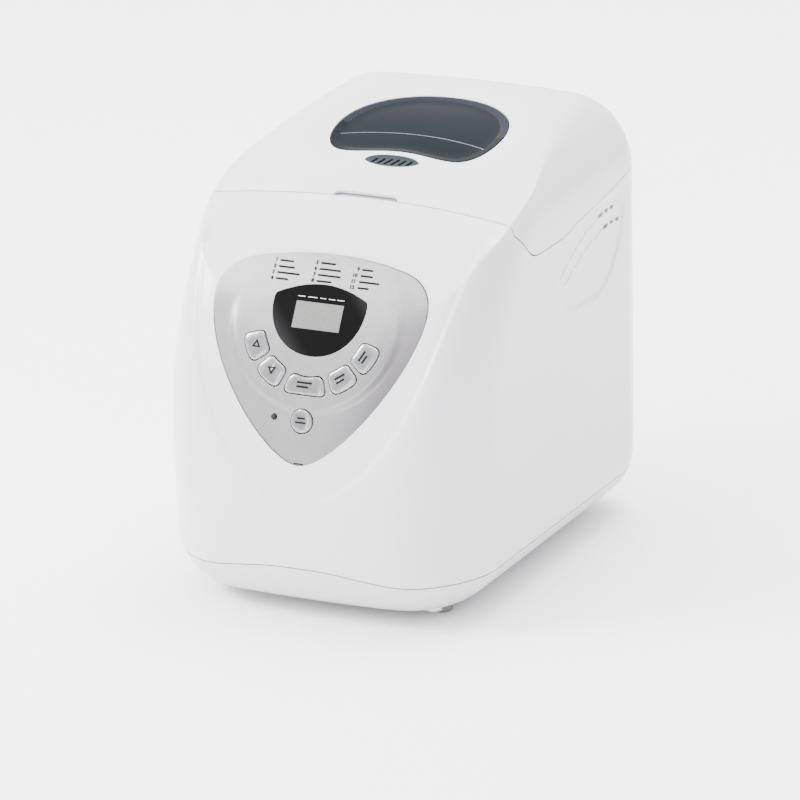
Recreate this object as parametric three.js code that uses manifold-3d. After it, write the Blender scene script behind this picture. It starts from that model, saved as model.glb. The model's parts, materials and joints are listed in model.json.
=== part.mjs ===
// Bread machine with a hinged, windowed lid over a heated chamber, a lift-out
// pan with a kneading paddle, a belt drive from a motor at the front, and a
// tilted control panel with six push buttons. Millimetres, +Z up, front to -Y,
// origin on the table under the middle of the object.

import * as THREE from 'three';
import { mergeVertices } from 'three/addons/utils/BufferGeometryUtils.js';
import Module from 'manifold-3d';

const wasm = await Module();
wasm.setup();

// ---- Driving dimensions ----

const GAP = 0.3;                 // clearance between touching pieces

// Casing envelope
const WIDTH = 246;
const DEPTH = 346;
const TOP = 314.9;               // level that the lid's front curve runs up towards
const CROWN_RISE = 0.025;        // slope of that level under the shoulders
const CREST_RISE = 0.111;        // slope of that level under the lid's long front curve
const CREST_START = -20;
const CREST_BLEND = 6;
const CROWN_RADIUS = 1300;       // side to side
const UNDERSIDE = 7;             // the casing's bottom, above the feet's soles
const FRONT = -DEPTH / 2;
const FACET_START = 59.4;        // height where the upright front starts to lean back
const FACET_RADIUS = 298.4;
const LID_FRONT_RADIUS = 89.8;
const SHOULDER_RADIUS = 49.7;
const BACK_RADIUS = 46.3;
const FRONT_RADIUS_LOW = 58.5;
const FRONT_RADIUS_MID = 38.4;
const FRONT_RADIUS_HIGH = 34;
const BOTTOM_RADIUS = 42.6;
const TUMBLEHOME = 0.006;        // the sides draw in below this height
const TUMBLEHOME_TOP = 110;
const BULGE_RADIUS = 420;        // the front outside the flat shield bulges forward
const BULGE_DEPTH = 14;
const CASING_CENTRE = 155;       // height that the casing's surface is measured from
const SKIN = 2.5;                // wall of the plastic mouldings

// Seams
const BASE_SEAM = 33.5;
const BASE_ARCH = 8;             // rise of the base seam in the middle of the front
const HINGE_Y = 168;
const HINGE_Z = 264;
const HINGE_RADIUS = 4.5;
const PIN_RADIUS = 1.8;
const KNUCKLE_X = 59;            // middle of each hinge, out from the centre

// Control panel, laid out in its own tilted plane
const PANEL_HEIGHT = 183;
const PANEL_TILT = THREE.MathUtils.degToRad(25);
const PANEL_HALF_WIDTH = 81;
const PANEL_TIP = -69;
const PANEL_SHOULDER = 44;
const PANEL_CREST = 80;
const BUTTON_ARC_CENTRE = 31.6;
const BUTTON_ARC_INNER = 39.5;
const BUTTON_ARC_OUTER = 54.5;
const PETAL_HALF_ANGLE = THREE.MathUtils.degToRad(11.5);
const WAIST_HALF_ANGLE = THREE.MathUtils.degToRad(17.5);
const START_RADIUS = 8;
const START_DROP = -38.8;

// Oven chamber, pan and drive
const PAN_Y = 38;
const CHAMBER_HALF_X = 90;
const CHAMBER_HALF_Y = 86;
const CHAMBER_FLOOR = 60;
const DECK = 238;
const PAN_HALF_X = 68;
const PAN_HALF_Y = 60;
const PAN_BASE = 76;
const PAN_RIM = 218;
const CHASSIS = 34;
const MOTOR_X = -34;
const MOTOR_Y = -98;
const DRIVE_PULLEY_RADIUS = 46;
const MOTOR_PULLEY_RADIUS = 10;
const BELT_LOW = 18;
const BELT_HIGH = 26;
const FOOT_X = 79;
const FOOT_Y = 104;
const FOOT_RADIUS = 7.75;

// ---- Materials ----

const paint = (color, roughness, metalness) =>
  new THREE.MeshStandardMaterial({ color, roughness, metalness });

const WHITE = paint(0xe9e9ea, 0.35, 0);
const BASE_WHITE = paint(0xe2e2e1, 0.4, 0);
const SILVER = paint(0xc9c9cb, 0.35, 0.6);
const CLEAR_GREY = paint(0xbfc1c2, 0.15, 0.2);
const GLOSS_BLACK = paint(0x0c0c0e, 0.08, 0);
const DARK_GLASS = paint(0x4b555c, 0.05, 0);
const BLUE_GREY = paint(0x5a6670, 0.45, 0);
const LCD_GREY = paint(0xa9aaa2, 0.3, 0);
const RUBBER = paint(0x8f8a90, 0.8, 0);
const STEEL = paint(0xb4b6b8, 0.35, 1);
const DARK_COAT = paint(0x33353a, 0.45, 0.2);
const BRONZE = paint(0xa9783c, 0.4, 1);
const BLACK_RUBBER = paint(0x17171a, 0.85, 0);
const BOARD_GREEN = paint(0x1f5a35, 0.5, 0);

// ---- Solids ----

function signedVolume(position, index) {
  const a = new THREE.Vector3();
  const b = new THREE.Vector3();
  const c = new THREE.Vector3();
  let volume = 0;
  for (let i = 0; i < index.count; i += 3) {
    a.fromBufferAttribute(position, index.getX(i));
    b.fromBufferAttribute(position, index.getX(i + 1));
    c.fromBufferAttribute(position, index.getX(i + 2));
    volume += a.dot(b.cross(c)) / 6;
  }
  return volume;
}

// A closed geometry as a manifold solid, its faces turned outwards.
function solidOf(geometry) {
  const bare = geometry.clone();
  bare.deleteAttribute('normal');
  bare.deleteAttribute('uv');
  const merged = mergeVertices(bare, 1e-4);
  const triVerts = new Uint32Array(merged.index.array);
  if (signedVolume(merged.attributes.position, merged.index) < 0) {
    triVerts.reverse();
  }
  const vertProperties = new Float32Array(merged.attributes.position.array);
  return new wasm.Manifold(new wasm.Mesh({ numProp: 3, vertProperties, triVerts }));
}

function geometryOf(solid) {
  const mesh = solid.getMesh();
  const geometry = new THREE.BufferGeometry();
  geometry.setAttribute('position', new THREE.BufferAttribute(mesh.vertProperties, 3));
  geometry.setIndex(new THREE.BufferAttribute(mesh.triVerts, 1));
  geometry.computeVertexNormals();
  return geometry;
}

const machine = new THREE.Group();

function add(name, solid, material) {
  const mesh = new THREE.Mesh(geometryOf(solid), material);
  mesh.name = name;
  machine.add(mesh);
}

function join(solids) {
  return solids.reduce((whole, piece) => whole.add(piece));
}

function cut(body, tools) {
  return tools.reduce((rest, tool) => rest.subtract(tool), body);
}

function block(x0, x1, y0, y1, z0, z1) {
  const geometry = new THREE.BoxGeometry(x1 - x0, y1 - y0, z1 - z0);
  geometry.translate((x0 + x1) / 2, (y0 + y1) / 2, (z0 + z1) / 2);
  return solidOf(geometry);
}

function rod(radius, z0, z1, x = 0, y = PAN_Y, sides = 16) {
  const geometry = new THREE.CylinderGeometry(radius, radius, z1 - z0, sides);
  geometry.rotateX(Math.PI / 2);
  geometry.translate(x, y, (z0 + z1) / 2);
  return solidOf(geometry);
}

function rodAlongX(radius, x0, x1, y, z, sides = 12) {
  const geometry = new THREE.CylinderGeometry(radius, radius, x1 - x0, sides);
  geometry.rotateZ(Math.PI / 2);
  geometry.translate((x0 + x1) / 2, y, z);
  return solidOf(geometry);
}

function rodAlongY(radius, y0, y1, x, z, sides = 12) {
  const geometry = new THREE.CylinderGeometry(radius, radius, y1 - y0, sides);
  geometry.translate(x, (y0 + y1) / 2, z);
  return solidOf(geometry);
}

function ring(inner, outer, z0, z1, x = 0, y = PAN_Y, sides = 16) {
  return rod(outer, z0, z1, x, y, sides).subtract(rod(inner, z0 - 1, z1 + 1, x, y, sides));
}

// A straight-sided solid standing on an outline in the XY plane.
function prism(shape, z0, z1, curveSegments = 6) {
  const geometry = new THREE.ExtrudeGeometry(shape, {
    depth: z1 - z0,
    bevelEnabled: false,
    curveSegments,
  });
  geometry.translate(0, 0, z0);
  return solidOf(geometry);
}

// A closed outline through the corners, each corner rounded.
function roundedOutline(corners, radius) {
  const shape = new THREE.Shape();
  corners.forEach((corner, i) => {
    const before = corners[(i + corners.length - 1) % corners.length];
    const after = corners[(i + 1) % corners.length];
    const entry = before.clone().sub(corner).setLength(radius).add(corner);
    const leave = after.clone().sub(corner).setLength(radius).add(corner);
    if (i === 0) {
      shape.moveTo(entry.x, entry.y);
    } else {
      shape.lineTo(entry.x, entry.y);
    }
    shape.quadraticCurveTo(corner.x, corner.y, leave.x, leave.y);
  });
  shape.closePath();
  return shape;
}

function roundedRectangle(halfX, halfY, x, y, radius) {
  const corners = [
    new THREE.Vector2(x - halfX, y - halfY),
    new THREE.Vector2(x + halfX, y - halfY),
    new THREE.Vector2(x + halfX, y + halfY),
    new THREE.Vector2(x - halfX, y + halfY),
  ];
  return roundedOutline(corners, radius);
}

// ---- Casing surface ----

// Two half spaces met with a rounded edge, as a distance from the result.
function roundedMeet(a, b, radius) {
  const u = Math.max(a + radius, 0);
  const v = Math.max(b + radius, 0);
  return Math.hypot(u, v) - radius + Math.min(Math.max(a + radius, b + radius), 0);
}

// The larger of two distances, with the crease between them faired out.
function softMax(a, b, blend) {
  const h = Math.max(blend - Math.abs(a - b), 0) / blend;
  return Math.max(a, b) + (h * h * blend) / 4;
}

// Distance outside (+) or inside (-) the casing's outer surface.
function casingDistance(x, y, z) {
  const { smoothstep, clamp } = THREE.MathUtils;
  const arcY = FRONT + FACET_RADIUS;
  const facet = Math.hypot(Math.min(y - arcY, 0), Math.max(z - FACET_START, 0)) - FACET_RADIUS;
  const bulge = Math.max(
    facet - BULGE_DEPTH * smoothstep(z, 70, 330) + (x * x) / (2 * BULGE_RADIUS) - 1,
    -400,
  );
  const camber = (x * x) / (2 * CROWN_RADIUS);
  const top = z - TOP - CROWN_RISE * clamp(y, 0, 200) + camber;
  const crest = z - TOP - CREST_RISE * clamp(y - CREST_START, 0, 200) + camber;
  const back = y - DEPTH / 2;
  const low = Math.max(TUMBLEHOME_TOP - z, 0);
  const side = Math.abs(x) - WIDTH / 2 + (TUMBLEHOME * low * low) / 100;
  const frontRadius = FRONT_RADIUS_LOW
    + (FRONT_RADIUS_MID - FRONT_RADIUS_LOW) * smoothstep(z, 60, 180)
    + (FRONT_RADIUS_HIGH - FRONT_RADIUS_MID) * smoothstep(z, 180, 290);
  const frontSide = roundedMeet(bulge, side, frontRadius);
  const backSide = roundedMeet(back, side, BACK_RADIUS);
  const plan = Math.max(frontSide, backSide, facet);
  const upper = softMax(
    roundedMeet(plan, top, SHOULDER_RADIUS),
    roundedMeet(facet, crest, LID_FRONT_RADIUS),
    0.01 + CREST_BLEND * smoothstep(y, -30, 60),
  );
  return roundedMeet(upper, UNDERSIDE - z, BOTTOM_RADIUS);
}

// The solid inside one level of the casing surface: 0 is the outer face and
// negative levels lie that far inside. The grid is finer near its edges,
// where the casing's corners are.
function moulding(level) {
  const geometry = new THREE.BoxGeometry(2, 2, 2, 10, 12, 12);
  const position = geometry.attributes.position;
  const spread = (u) => u + (0.5 * Math.sin(Math.PI * u)) / Math.PI;
  const half = new THREE.Vector3(WIDTH / 2, DEPTH / 2, TOP / 2);
  const ray = new THREE.Vector3();
  for (let i = 0; i < position.count; i += 1) {
    ray.fromBufferAttribute(position, i);
    ray.set(spread(ray.x), spread(ray.y), spread(ray.z)).multiply(half);
    let inside = 0;
    let outside = 1.6;
    for (let step = 0; step < 40; step += 1) {
      const t = (inside + outside) / 2;
      if (casingDistance(ray.x * t, ray.y * t, CASING_CENTRE + ray.z * t) < level) {
        inside = t;
      } else {
        outside = t;
      }
    }
    position.setXYZ(i, ray.x * inside, ray.y * inside, CASING_CENTRE + ray.z * inside);
  }
  return solidOf(geometry);
}

const OUTSIDE = moulding(0);
const INSIDE = moulding(-SKIN);
const CLEAR_INSIDE = moulding(-SKIN - 0.4);
const SHELL = OUTSIDE.subtract(INSIDE);

// ---- Seams of the casing ----

// Everything that belongs to the lid: behind its arched front edge and above
// its skirt, which dips at the front corners and rises towards the hinge.
function lidRegion(drop) {
  const profile = new THREE.Shape();
  profile.moveTo(-72, 345);
  profile.lineTo(-50.5, 279);
  profile.lineTo(-49, 272);
  profile.lineTo(-49, 266);
  profile.lineTo(-46, 252);
  profile.quadraticCurveTo(-40, 244.4, -24, 244.2);
  profile.lineTo(8, 244);
  profile.quadraticCurveTo(24, 244.4, 37, 248.5);
  profile.quadraticCurveTo(80, 252, 119, 259.3);
  profile.lineTo(150, HINGE_Z + GAP);
  profile.lineTo(190, HINGE_Z + GAP);
  profile.lineTo(190, 345);
  const length = 280;
  const geometry = new THREE.ExtrudeGeometry(profile, {
    depth: length,
    steps: 20,
    bevelEnabled: false,
    curveSegments: 4,
  });
  const position = geometry.attributes.position;
  for (let i = 0; i < position.count; i += 1) {
    const y = position.getX(i);
    const z = position.getY(i);
    const x = position.getZ(i) - length / 2;
    const front = 1 - THREE.MathUtils.smoothstep(y, -30, 20);
    const arch = 8 * (x / 107) ** 2 * THREE.MathUtils.smoothstep(z, 250, 266) * front;
    position.setXYZ(i, x, y - arch - drop, z - drop);
  }
  return solidOf(geometry);
}

// Everything below the base seam, which arches up in the middle of the front.
function baseRegion(raise) {
  const geometry = new THREE.BoxGeometry(280, 400, 80, 24, 8, 1);
  geometry.translate(0, 0, -40);
  const position = geometry.attributes.position;
  for (let i = 0; i < position.count; i += 1) {
    const x = position.getX(i);
    const y = position.getY(i);
    const front = 1 - THREE.MathUtils.smoothstep(y, -130, -80);
    const arch = BASE_ARCH * (1 - THREE.MathUtils.smoothstep(Math.abs(x), 10, 90)) * front;
    const top = position.getZ(i) > -1;
    position.setZ(i, top ? BASE_SEAM + arch + raise : position.getZ(i));
  }
  return solidOf(geometry);
}

// ---- Control panel plane ----

const PANEL_NORMAL = new THREE.Vector3(0, -Math.cos(PANEL_TILT), Math.sin(PANEL_TILT));
const PANEL_UP = new THREE.Vector3(0, Math.sin(PANEL_TILT), Math.cos(PANEL_TILT));
const PANEL_Y = FRONT + FACET_RADIUS - Math.sqrt(FACET_RADIUS ** 2 - (PANEL_HEIGHT - FACET_START) ** 2);
const PANEL_FRAME = new THREE.Matrix4()
  .makeBasis(new THREE.Vector3(1, 0, 0), PANEL_UP, PANEL_NORMAL)
  .setPosition(0, PANEL_Y, PANEL_HEIGHT);

// A prism standing on the panel plane between two heights above it.
function panelPrism(shape, low = -40, high = 30, curveSegments = 3) {
  const geometry = new THREE.ExtrudeGeometry(shape, {
    depth: high - low,
    bevelEnabled: false,
    curveSegments,
  });
  geometry.translate(0, 0, low);
  geometry.applyMatrix4(PANEL_FRAME);
  return solidOf(geometry);
}

function panelBlock(x0, x1, s0, s1, low, high) {
  const shape = new THREE.Shape();
  shape.moveTo(x0, s0);
  shape.lineTo(x1, s0);
  shape.lineTo(x1, s1);
  shape.lineTo(x0, s1);
  return panelPrism(shape, low, high);
}

function circle(radius, x, y) {
  const shape = new THREE.Shape();
  shape.absarc(x, y, radius, 0, 2 * Math.PI);
  return shape;
}

// Shield outline, symmetric left to right, grown outwards by an allowance.
function shieldShape(grow) {
  const wide = PANEL_HALF_WIDTH + grow;
  const tip = PANEL_TIP - grow;
  const crest = PANEL_CREST + grow;
  const shape = new THREE.Shape();
  shape.moveTo(0, tip);
  shape.bezierCurveTo(26, tip, wide, -2, wide, PANEL_SHOULDER);
  shape.bezierCurveTo(wide, 60, 70 + grow, 70.5 + grow, 52, 74 + grow);
  shape.quadraticCurveTo(26, crest, 0, crest);
  shape.quadraticCurveTo(-26, crest, -52, 74 + grow);
  shape.bezierCurveTo(-70 - grow, 70.5 + grow, -wide, 60, -wide, PANEL_SHOULDER);
  shape.bezierCurveTo(-wide, -2, -26, tip, 0, tip);
  return shape;
}

// Black display window: arched top, round bottom.
function displayShape(grow) {
  const half = 35.5 + grow;
  const low = 6.5 - grow;
  const shape = new THREE.Shape();
  shape.moveTo(0, low);
  shape.bezierCurveTo(22, low, half, 24, half, 43);
  shape.quadraticCurveTo(half, 48 + grow, half - 6, 50 + grow);
  shape.quadraticCurveTo(15, 57.5 + grow, 0, 57.5 + grow);
  shape.quadraticCurveTo(-15, 57.5 + grow, 6 - half, 50 + grow);
  shape.quadraticCurveTo(-half, 48 + grow, -half, 43);
  shape.bezierCurveTo(-half, 24, -22, low, 0, low);
  return shape;
}

// One button's outline: a rounded sector on the arc under the display.
function petalShape(angle, halfAngle, waist, grow) {
  const at = (radius, turn) =>
    new THREE.Vector2(radius * Math.sin(turn), BUTTON_ARC_CENTRE - radius * Math.cos(turn));
  const inner = BUTTON_ARC_INNER - grow;
  const outer = BUTTON_ARC_OUTER + grow;
  const spread = halfAngle + grow / BUTTON_ARC_OUTER;
  const corners = [
    at(inner, angle - spread),
    at(outer, angle - spread),
    at(outer - waist, angle),
    at(outer, angle + spread),
    at(inner, angle + spread),
    at(inner + waist / 2, angle),
  ];
  return roundedOutline(corners, 4);
}

const BUTTONS = [
  { name: 'button_time_up', angle: -62.5, halfAngle: PETAL_HALF_ANGLE, waist: 0 },
  { name: 'button_time_down', angle: -34.8, halfAngle: PETAL_HALF_ANGLE, waist: 0 },
  { name: 'button_loaf_size', angle: 0, halfAngle: WAIST_HALF_ANGLE, waist: 2.4 },
  { name: 'button_menu', angle: 34.8, halfAngle: PETAL_HALF_ANGLE, waist: 0 },
  { name: 'button_crust_colour', angle: 62.5, halfAngle: PETAL_HALF_ANGLE, waist: 0 },
  { name: 'button_start_stop', round: true },
];

function buttonShape(button, grow) {
  if (button.round) {
    return circle(START_RADIUS + grow, 0, START_DROP);
  }
  const angle = THREE.MathUtils.degToRad(button.angle);
  return petalShape(angle, button.halfAngle, button.waist, grow);
}

function buttonCentre(button) {
  if (button.round) {
    return new THREE.Vector2(0, START_DROP);
  }
  const angle = THREE.MathUtils.degToRad(button.angle);
  const radius = (BUTTON_ARC_INNER + BUTTON_ARC_OUTER) / 2;
  return new THREE.Vector2(radius * Math.sin(angle), BUTTON_ARC_CENTRE - radius * Math.cos(angle));
}

const STATUS_X = -21.5;
const STATUS_DROP = -37.9;
const STATUS_RADIUS = 2;
const BOARD_DEPTH = -15;         // the control board's front face, behind the panel plane
const STEM_END = -11.6;          // back of each button's stem, clear of its switch

function controlPanel() {
  const face = moulding(0.3);
  const behind = moulding(-2.2);
  const skin = face.subtract(behind);
  const holes = BUTTONS.map((button) => panelPrism(buttonShape(button, 0.35)));
  holes.push(panelPrism(displayShape(GAP), -40, 30, 5));
  holes.push(panelPrism(circle(STATUS_RADIUS + GAP, STATUS_X, STATUS_DROP)));
  add('control_panel', cut(skin.intersect(panelPrism(shieldShape(0), -40, 30, 6)), holes), SILVER);

  const glassSkin = moulding(0.7).subtract(moulding(-1.6));
  add('display_window', glassSkin.intersect(panelPrism(displayShape(0), -40, 30, 5)), GLOSS_BLACK);
  add('lcd_module', panelBlock(-22, 22, 21, 49, -10, -6.3), LCD_GREY);
  const lens = panelPrism(circle(STATUS_RADIUS, STATUS_X, STATUS_DROP), -14.6, 20);
  add('status_lens', lens.intersect(moulding(1)), GLOSS_BLACK);
}

// Each cap fills its hole, with a wider flange behind the panel that holds it
// in and a stem that reaches the switch on the control board.
function buttons() {
  const crown = moulding(1.7);
  BUTTONS.forEach((button) => {
    const flangeFront = button.round ? -7.6 : -3.6;
    const flangeBack = flangeFront - 1.2;
    const cap = panelPrism(buttonShape(button, 0), flangeBack).intersect(crown);
    const flange = panelPrism(buttonShape(button, 1.2), flangeBack, flangeFront);
    const centre = buttonCentre(button);
    const stem = panelPrism(circle(2.5, centre.x, centre.y), STEM_END, flangeFront);
    add(button.name, join([cap, flange, stem]), CLEAR_GREY);
  });
}

function controlBoard() {
  const board = panelBlock(-62, 62, -46, 56, BOARD_DEPTH - 1.6, BOARD_DEPTH);
  const switches = BUTTONS.map((button) => {
    const centre = buttonCentre(button);
    return panelBlock(
      centre.x - 3, centre.x + 3, centre.y - 3, centre.y + 3, BOARD_DEPTH - 0.5, BOARD_DEPTH + 1.6);
  });
  add('control_board', join([board, ...switches]), BOARD_GREEN);
}

// ---- Casing ----

// Short vent slots in two rows that follow the side's curved vent.
function sideSlots(sign) {
  const rows = [
    new THREE.QuadraticBezierCurve(
      new THREE.Vector2(13.6, 217), new THREE.Vector2(68, 248), new THREE.Vector2(119, 240)),
    new THREE.QuadraticBezierCurve(
      new THREE.Vector2(22.8, 210.7), new THREE.Vector2(72, 234), new THREE.Vector2(116, 229.6)),
  ];
  const slots = [];
  rows.forEach((row) => {
    for (let i = 0; i < 7; i += 1) {
      const middle = row.getPointAt(i / 6);
      const along = row.getTangentAt(i / 6);
      const geometry = new THREE.BoxGeometry(12, 7, 2.4);
      geometry.rotateX(Math.atan2(along.y, along.x));
      geometry.translate(sign * WIDTH / 2, middle.x, middle.y);
      slots.push(solidOf(geometry));
    }
  });
  return slots;
}

function rearSlots() {
  const slots = [];
  for (let i = 0; i < 9; i += 1) {
    const x = -64 + 16 * i;
    slots.push(block(x - 1.5, x + 1.5, 160, 180, 150, 200));
  }
  return slots;
}

const INLET_X = 66;
const INLET_Z = 52;
const INLET_RADIUS = 8;

function bodyShell() {
  const hingeSlot = block(-101, 101, 158, 180, HINGE_Z - 5.4, HINGE_Z + 6);
  const tools = [
    lidRegion(0.35),
    baseRegion(GAP),
    panelPrism(shieldShape(GAP), -20, 30, 6),
    hingeSlot,
    rodAlongY(INLET_RADIUS + GAP, 160, 180, INLET_X, INLET_Z),
    ...sideSlots(1),
    ...sideSlots(-1),
    ...rearSlots(),
  ];
  add('body_shell', cut(SHELL, tools), WHITE);
  const gland = rodAlongY(INLET_RADIUS, 166, 172.8, INLET_X, INLET_Z);
  const flange = rodAlongY(INLET_RADIUS + 3, 165, 168.5, INLET_X, INLET_Z);
  const bore = rodAlongY(3.5, 160, 180, INLET_X, INLET_Z);
  add('cord_inlet', join([gland, flange.intersect(CLEAR_INSIDE)]).subtract(bore), BLACK_RUBBER);
}

function corners(halfX, halfY) {
  return [[-halfX, -halfY], [halfX, -halfY], [-halfX, halfY], [halfX, halfY]];
}

const CHASSIS_POST_X = 84;
const CHASSIS_POST_Y = 128;

function baseTray() {
  const tray = SHELL.intersect(baseRegion(0));
  const posts = corners(CHASSIS_POST_X, CHASSIS_POST_Y).map(([x, y]) =>
    rod(5, UNDERSIDE + 1, CHASSIS - GAP, x, y, 12).intersect(OUTSIDE));
  const sockets = corners(FOOT_X, FOOT_Y).map(([x, y]) => rod(3.4, 0, 20, x, y, 12));
  add('base_tray', cut(join([tray, ...posts]), sockets), BASE_WHITE);
}

function feet() {
  const names = ['foot_front_left', 'foot_front_right', 'foot_rear_left', 'foot_rear_right'];
  corners(FOOT_X, FOOT_Y).forEach(([x, y], i) => {
    const sole = rod(FOOT_RADIUS, 0, UNDERSIDE - GAP, x, y, 20);
    const stem = rod(3, UNDERSIDE - 1, UNDERSIDE + 5, x, y, 12);
    add(names[i], sole.add(stem), RUBBER);
  });
}

// The deck round the oven's mouth, with an upstand that closes the space
// behind the control panel.
function topDeck() {
  const plate = block(-130, 130, -55, 160, DECK, DECK + SKIN);
  const upstand = block(-130, 130, -55, -52.5, DECK, 300);
  const mouth = prism(roundedRectangle(CHAMBER_HALF_X + 0.4, CHAMBER_HALF_Y + 0.4, 0, PAN_Y, 26), 200, 260);
  const deck = plate.add(upstand).intersect(CLEAR_INSIDE);
  add('top_deck', cut(deck, [mouth, lidRegion(0.6)]), WHITE);
}

// ---- Lid ----

// Window outline seen from above: arched back, two lobes at the front with a
// hollow between them for the steam vent.
function windowShape(grow) {
  const shape = new THREE.Shape();
  const back = 100 + grow;
  const side = 64 + grow;
  const front = 9 - grow;
  const lobe = 4 - grow;
  shape.moveTo(0, front);
  shape.bezierCurveTo(16, front, 27, lobe, 42, lobe);
  shape.bezierCurveTo(56, lobe, side, 20, side, 42);
  shape.bezierCurveTo(side, 70 + grow, 42 + grow, back, 0, back);
  shape.bezierCurveTo(-42 - grow, back, -side, 70 + grow, -side, 42);
  shape.bezierCurveTo(-side, 20, -56, lobe, -42, lobe);
  shape.bezierCurveTo(-27, lobe, -16, front, 0, front);
  return shape;
}

const VENT_Y = -6;
const VENT_HALF_X = 20.5;
const VENT_HALF_Y = 7.5;
const LINER = 262;

function ventShape(grow) {
  const shape = new THREE.Shape();
  shape.absellipse(0, VENT_Y, VENT_HALF_X + grow, VENT_HALF_Y + grow, 0, 2 * Math.PI);
  return shape;
}

function lidCover() {
  const notch = new THREE.SphereGeometry(1, 20, 12);
  notch.scale(30, 9.5, 12);
  notch.translate(0, -52.5, 276);
  const tools = [
    prism(windowShape(GAP), 240, 340, 8),
    prism(ventShape(GAP), 240, 340, 6),
    solidOf(notch),
  ];
  [-1, 1].forEach((sign) => {
    const x = sign * KNUCKLE_X;
    tools.push(rodAlongX(HINGE_RADIUS + 0.6, x - 16, x + 16, HINGE_Y, HINGE_Z));
  });
  add('lid_cover', cut(SHELL.intersect(lidRegion(0)), tools), WHITE);
  const pane = moulding(-0.5).subtract(moulding(-3.5));
  add('lid_window', prism(windowShape(0), 240, 340, 8).intersect(pane), DARK_GLASS);
}

function lidVentGrille() {
  const slots = [];
  for (let i = 0; i < 6; i += 1) {
    const geometry = new THREE.BoxGeometry(2.2, 9 - Math.abs(i - 2.5), 60);
    geometry.rotateZ(-0.5);
    geometry.translate(-13.5 + 5.4 * i, VENT_Y, 290);
    slots.push(solidOf(geometry));
  }
  const plate = prism(ventShape(0), 240, 340, 6).intersect(moulding(-0.4)).subtract(moulding(-3));
  add('lid_vent_grille', cut(plate, slots), BLUE_GREY);
}

// Inner panel of the lid, with a chute that runs up to the window.
function lidLiner() {
  const plate = block(-130, 130, -43, 152, LINER, LINER + 1.6).intersect(moulding(-SKIN - 0.8));
  const chute = prism(windowShape(4), LINER, 340, 8).intersect(moulding(-4.2));
  const bore = prism(windowShape(1.5), 240, 345, 8);
  const steam = rod(5, 240, 345, 0, VENT_Y, 16);
  add('lid_liner', cut(plate.add(chute), [bore, steam]), WHITE);
}

// Each hinge: a forked bracket on the body, a knuckled arm on the lid and a
// steel pin through both.
function hinges() {
  [['left', -1], ['right', 1]].forEach(([side, sign]) => {
    const x = sign * KNUCKLE_X;
    const bore = rodAlongX(PIN_RADIUS + GAP, x - 20, x + 20, HINGE_Y, HINGE_Z);
    const fork = [-11, 11].map((offset) =>
      rodAlongX(HINGE_RADIUS, x + offset - 3.5, x + offset + 3.5, HINGE_Y, HINGE_Z));
    const cheeks = [-11, 11].map((offset) =>
      block(x + offset - 3.5, x + offset + 3.5, 164, 169.5, 236, HINGE_Z));
    const plate = block(x - 14.5, x + 14.5, 164, 167, 228, HINGE_Z - 7);
    add(`hinge_bracket_${side}`, join([...fork, ...cheeks, plate]).subtract(bore), STEEL);

    const knuckle = rodAlongX(HINGE_RADIUS, x - 7, x + 7, HINGE_Y, HINGE_Z);
    const arm = block(x - 7, x + 7, 154, HINGE_Y, HINGE_Z + 1.5, HINGE_Z + 4.5);
    add(`lid_hinge_arm_${side}`, cut(join([knuckle, arm]), [bore]), STEEL);
    add(`hinge_pin_${side}`, rodAlongX(PIN_RADIUS, x - 14.5, x + 14.5, HINGE_Y, HINGE_Z), STEEL);
  });
}

// ---- Oven chamber ----

const ELEMENT_Z = 84;
const ELEMENT_X = 78.5;
const ELEMENT_FRONT = -36.5;
const ELEMENT_BACK = 112.5;

function ovenChamber() {
  const outer = roundedRectangle(CHAMBER_HALF_X, CHAMBER_HALF_Y, 0, PAN_Y, 25);
  const inner = roundedRectangle(CHAMBER_HALF_X - 1.2, CHAMBER_HALF_Y - 1.2, 0, PAN_Y, 24);
  const brim = roundedRectangle(CHAMBER_HALF_X + 4, CHAMBER_HALF_Y + 4, 0, PAN_Y, 28);
  const top = DECK + SKIN + GAP;
  const box = prism(outer, CHAMBER_FLOOR, top + 1.2).add(prism(brim, top, top + 1.2));
  const tools = [
    prism(inner, CHAMBER_FLOOR + 1.2, top + 10),
    rod(9, 50, 70),
    rodAlongY(4, 110, 140, -14, ELEMENT_Z),
    rodAlongY(4, 110, 140, 14, ELEMENT_Z),
    rodAlongY(3.4, -60, -40, 0, 120),
  ];
  add('oven_chamber', cut(box, tools), STEEL);
  corners(66, 62).forEach(([x, y], i) => {
    const post = rod(5, CHASSIS + 2 + GAP, CHAMBER_FLOOR - GAP, x, y + PAN_Y, 12);
    add(`chamber_post_${i + 1}`, post, STEEL);
  });
}

// A round bar bent along straight runs with rounded corners.
function bentBar(points, bend, radius, height, steps) {
  const path = new THREE.CurvePath();
  let from = points[0];
  for (let i = 1; i < points.length - 1; i += 1) {
    const entry = points[i - 1].clone().sub(points[i]).setLength(bend).add(points[i]);
    const leave = points[i + 1].clone().sub(points[i]).setLength(bend).add(points[i]);
    path.add(new THREE.LineCurve3(from, entry));
    path.add(new THREE.QuadraticBezierCurve3(entry, points[i], leave));
    from = leave;
  }
  path.add(new THREE.LineCurve3(from, points[points.length - 1]));
  const section = new THREE.Shape();
  section.absarc(0, 0, radius, 0, 2 * Math.PI);
  const geometry = new THREE.ExtrudeGeometry(section, {
    extrudePath: path,
    steps,
    bevelEnabled: false,
    curveSegments: 3,
  });
  geometry.translate(0, 0, height);
  return solidOf(geometry);
}

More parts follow.
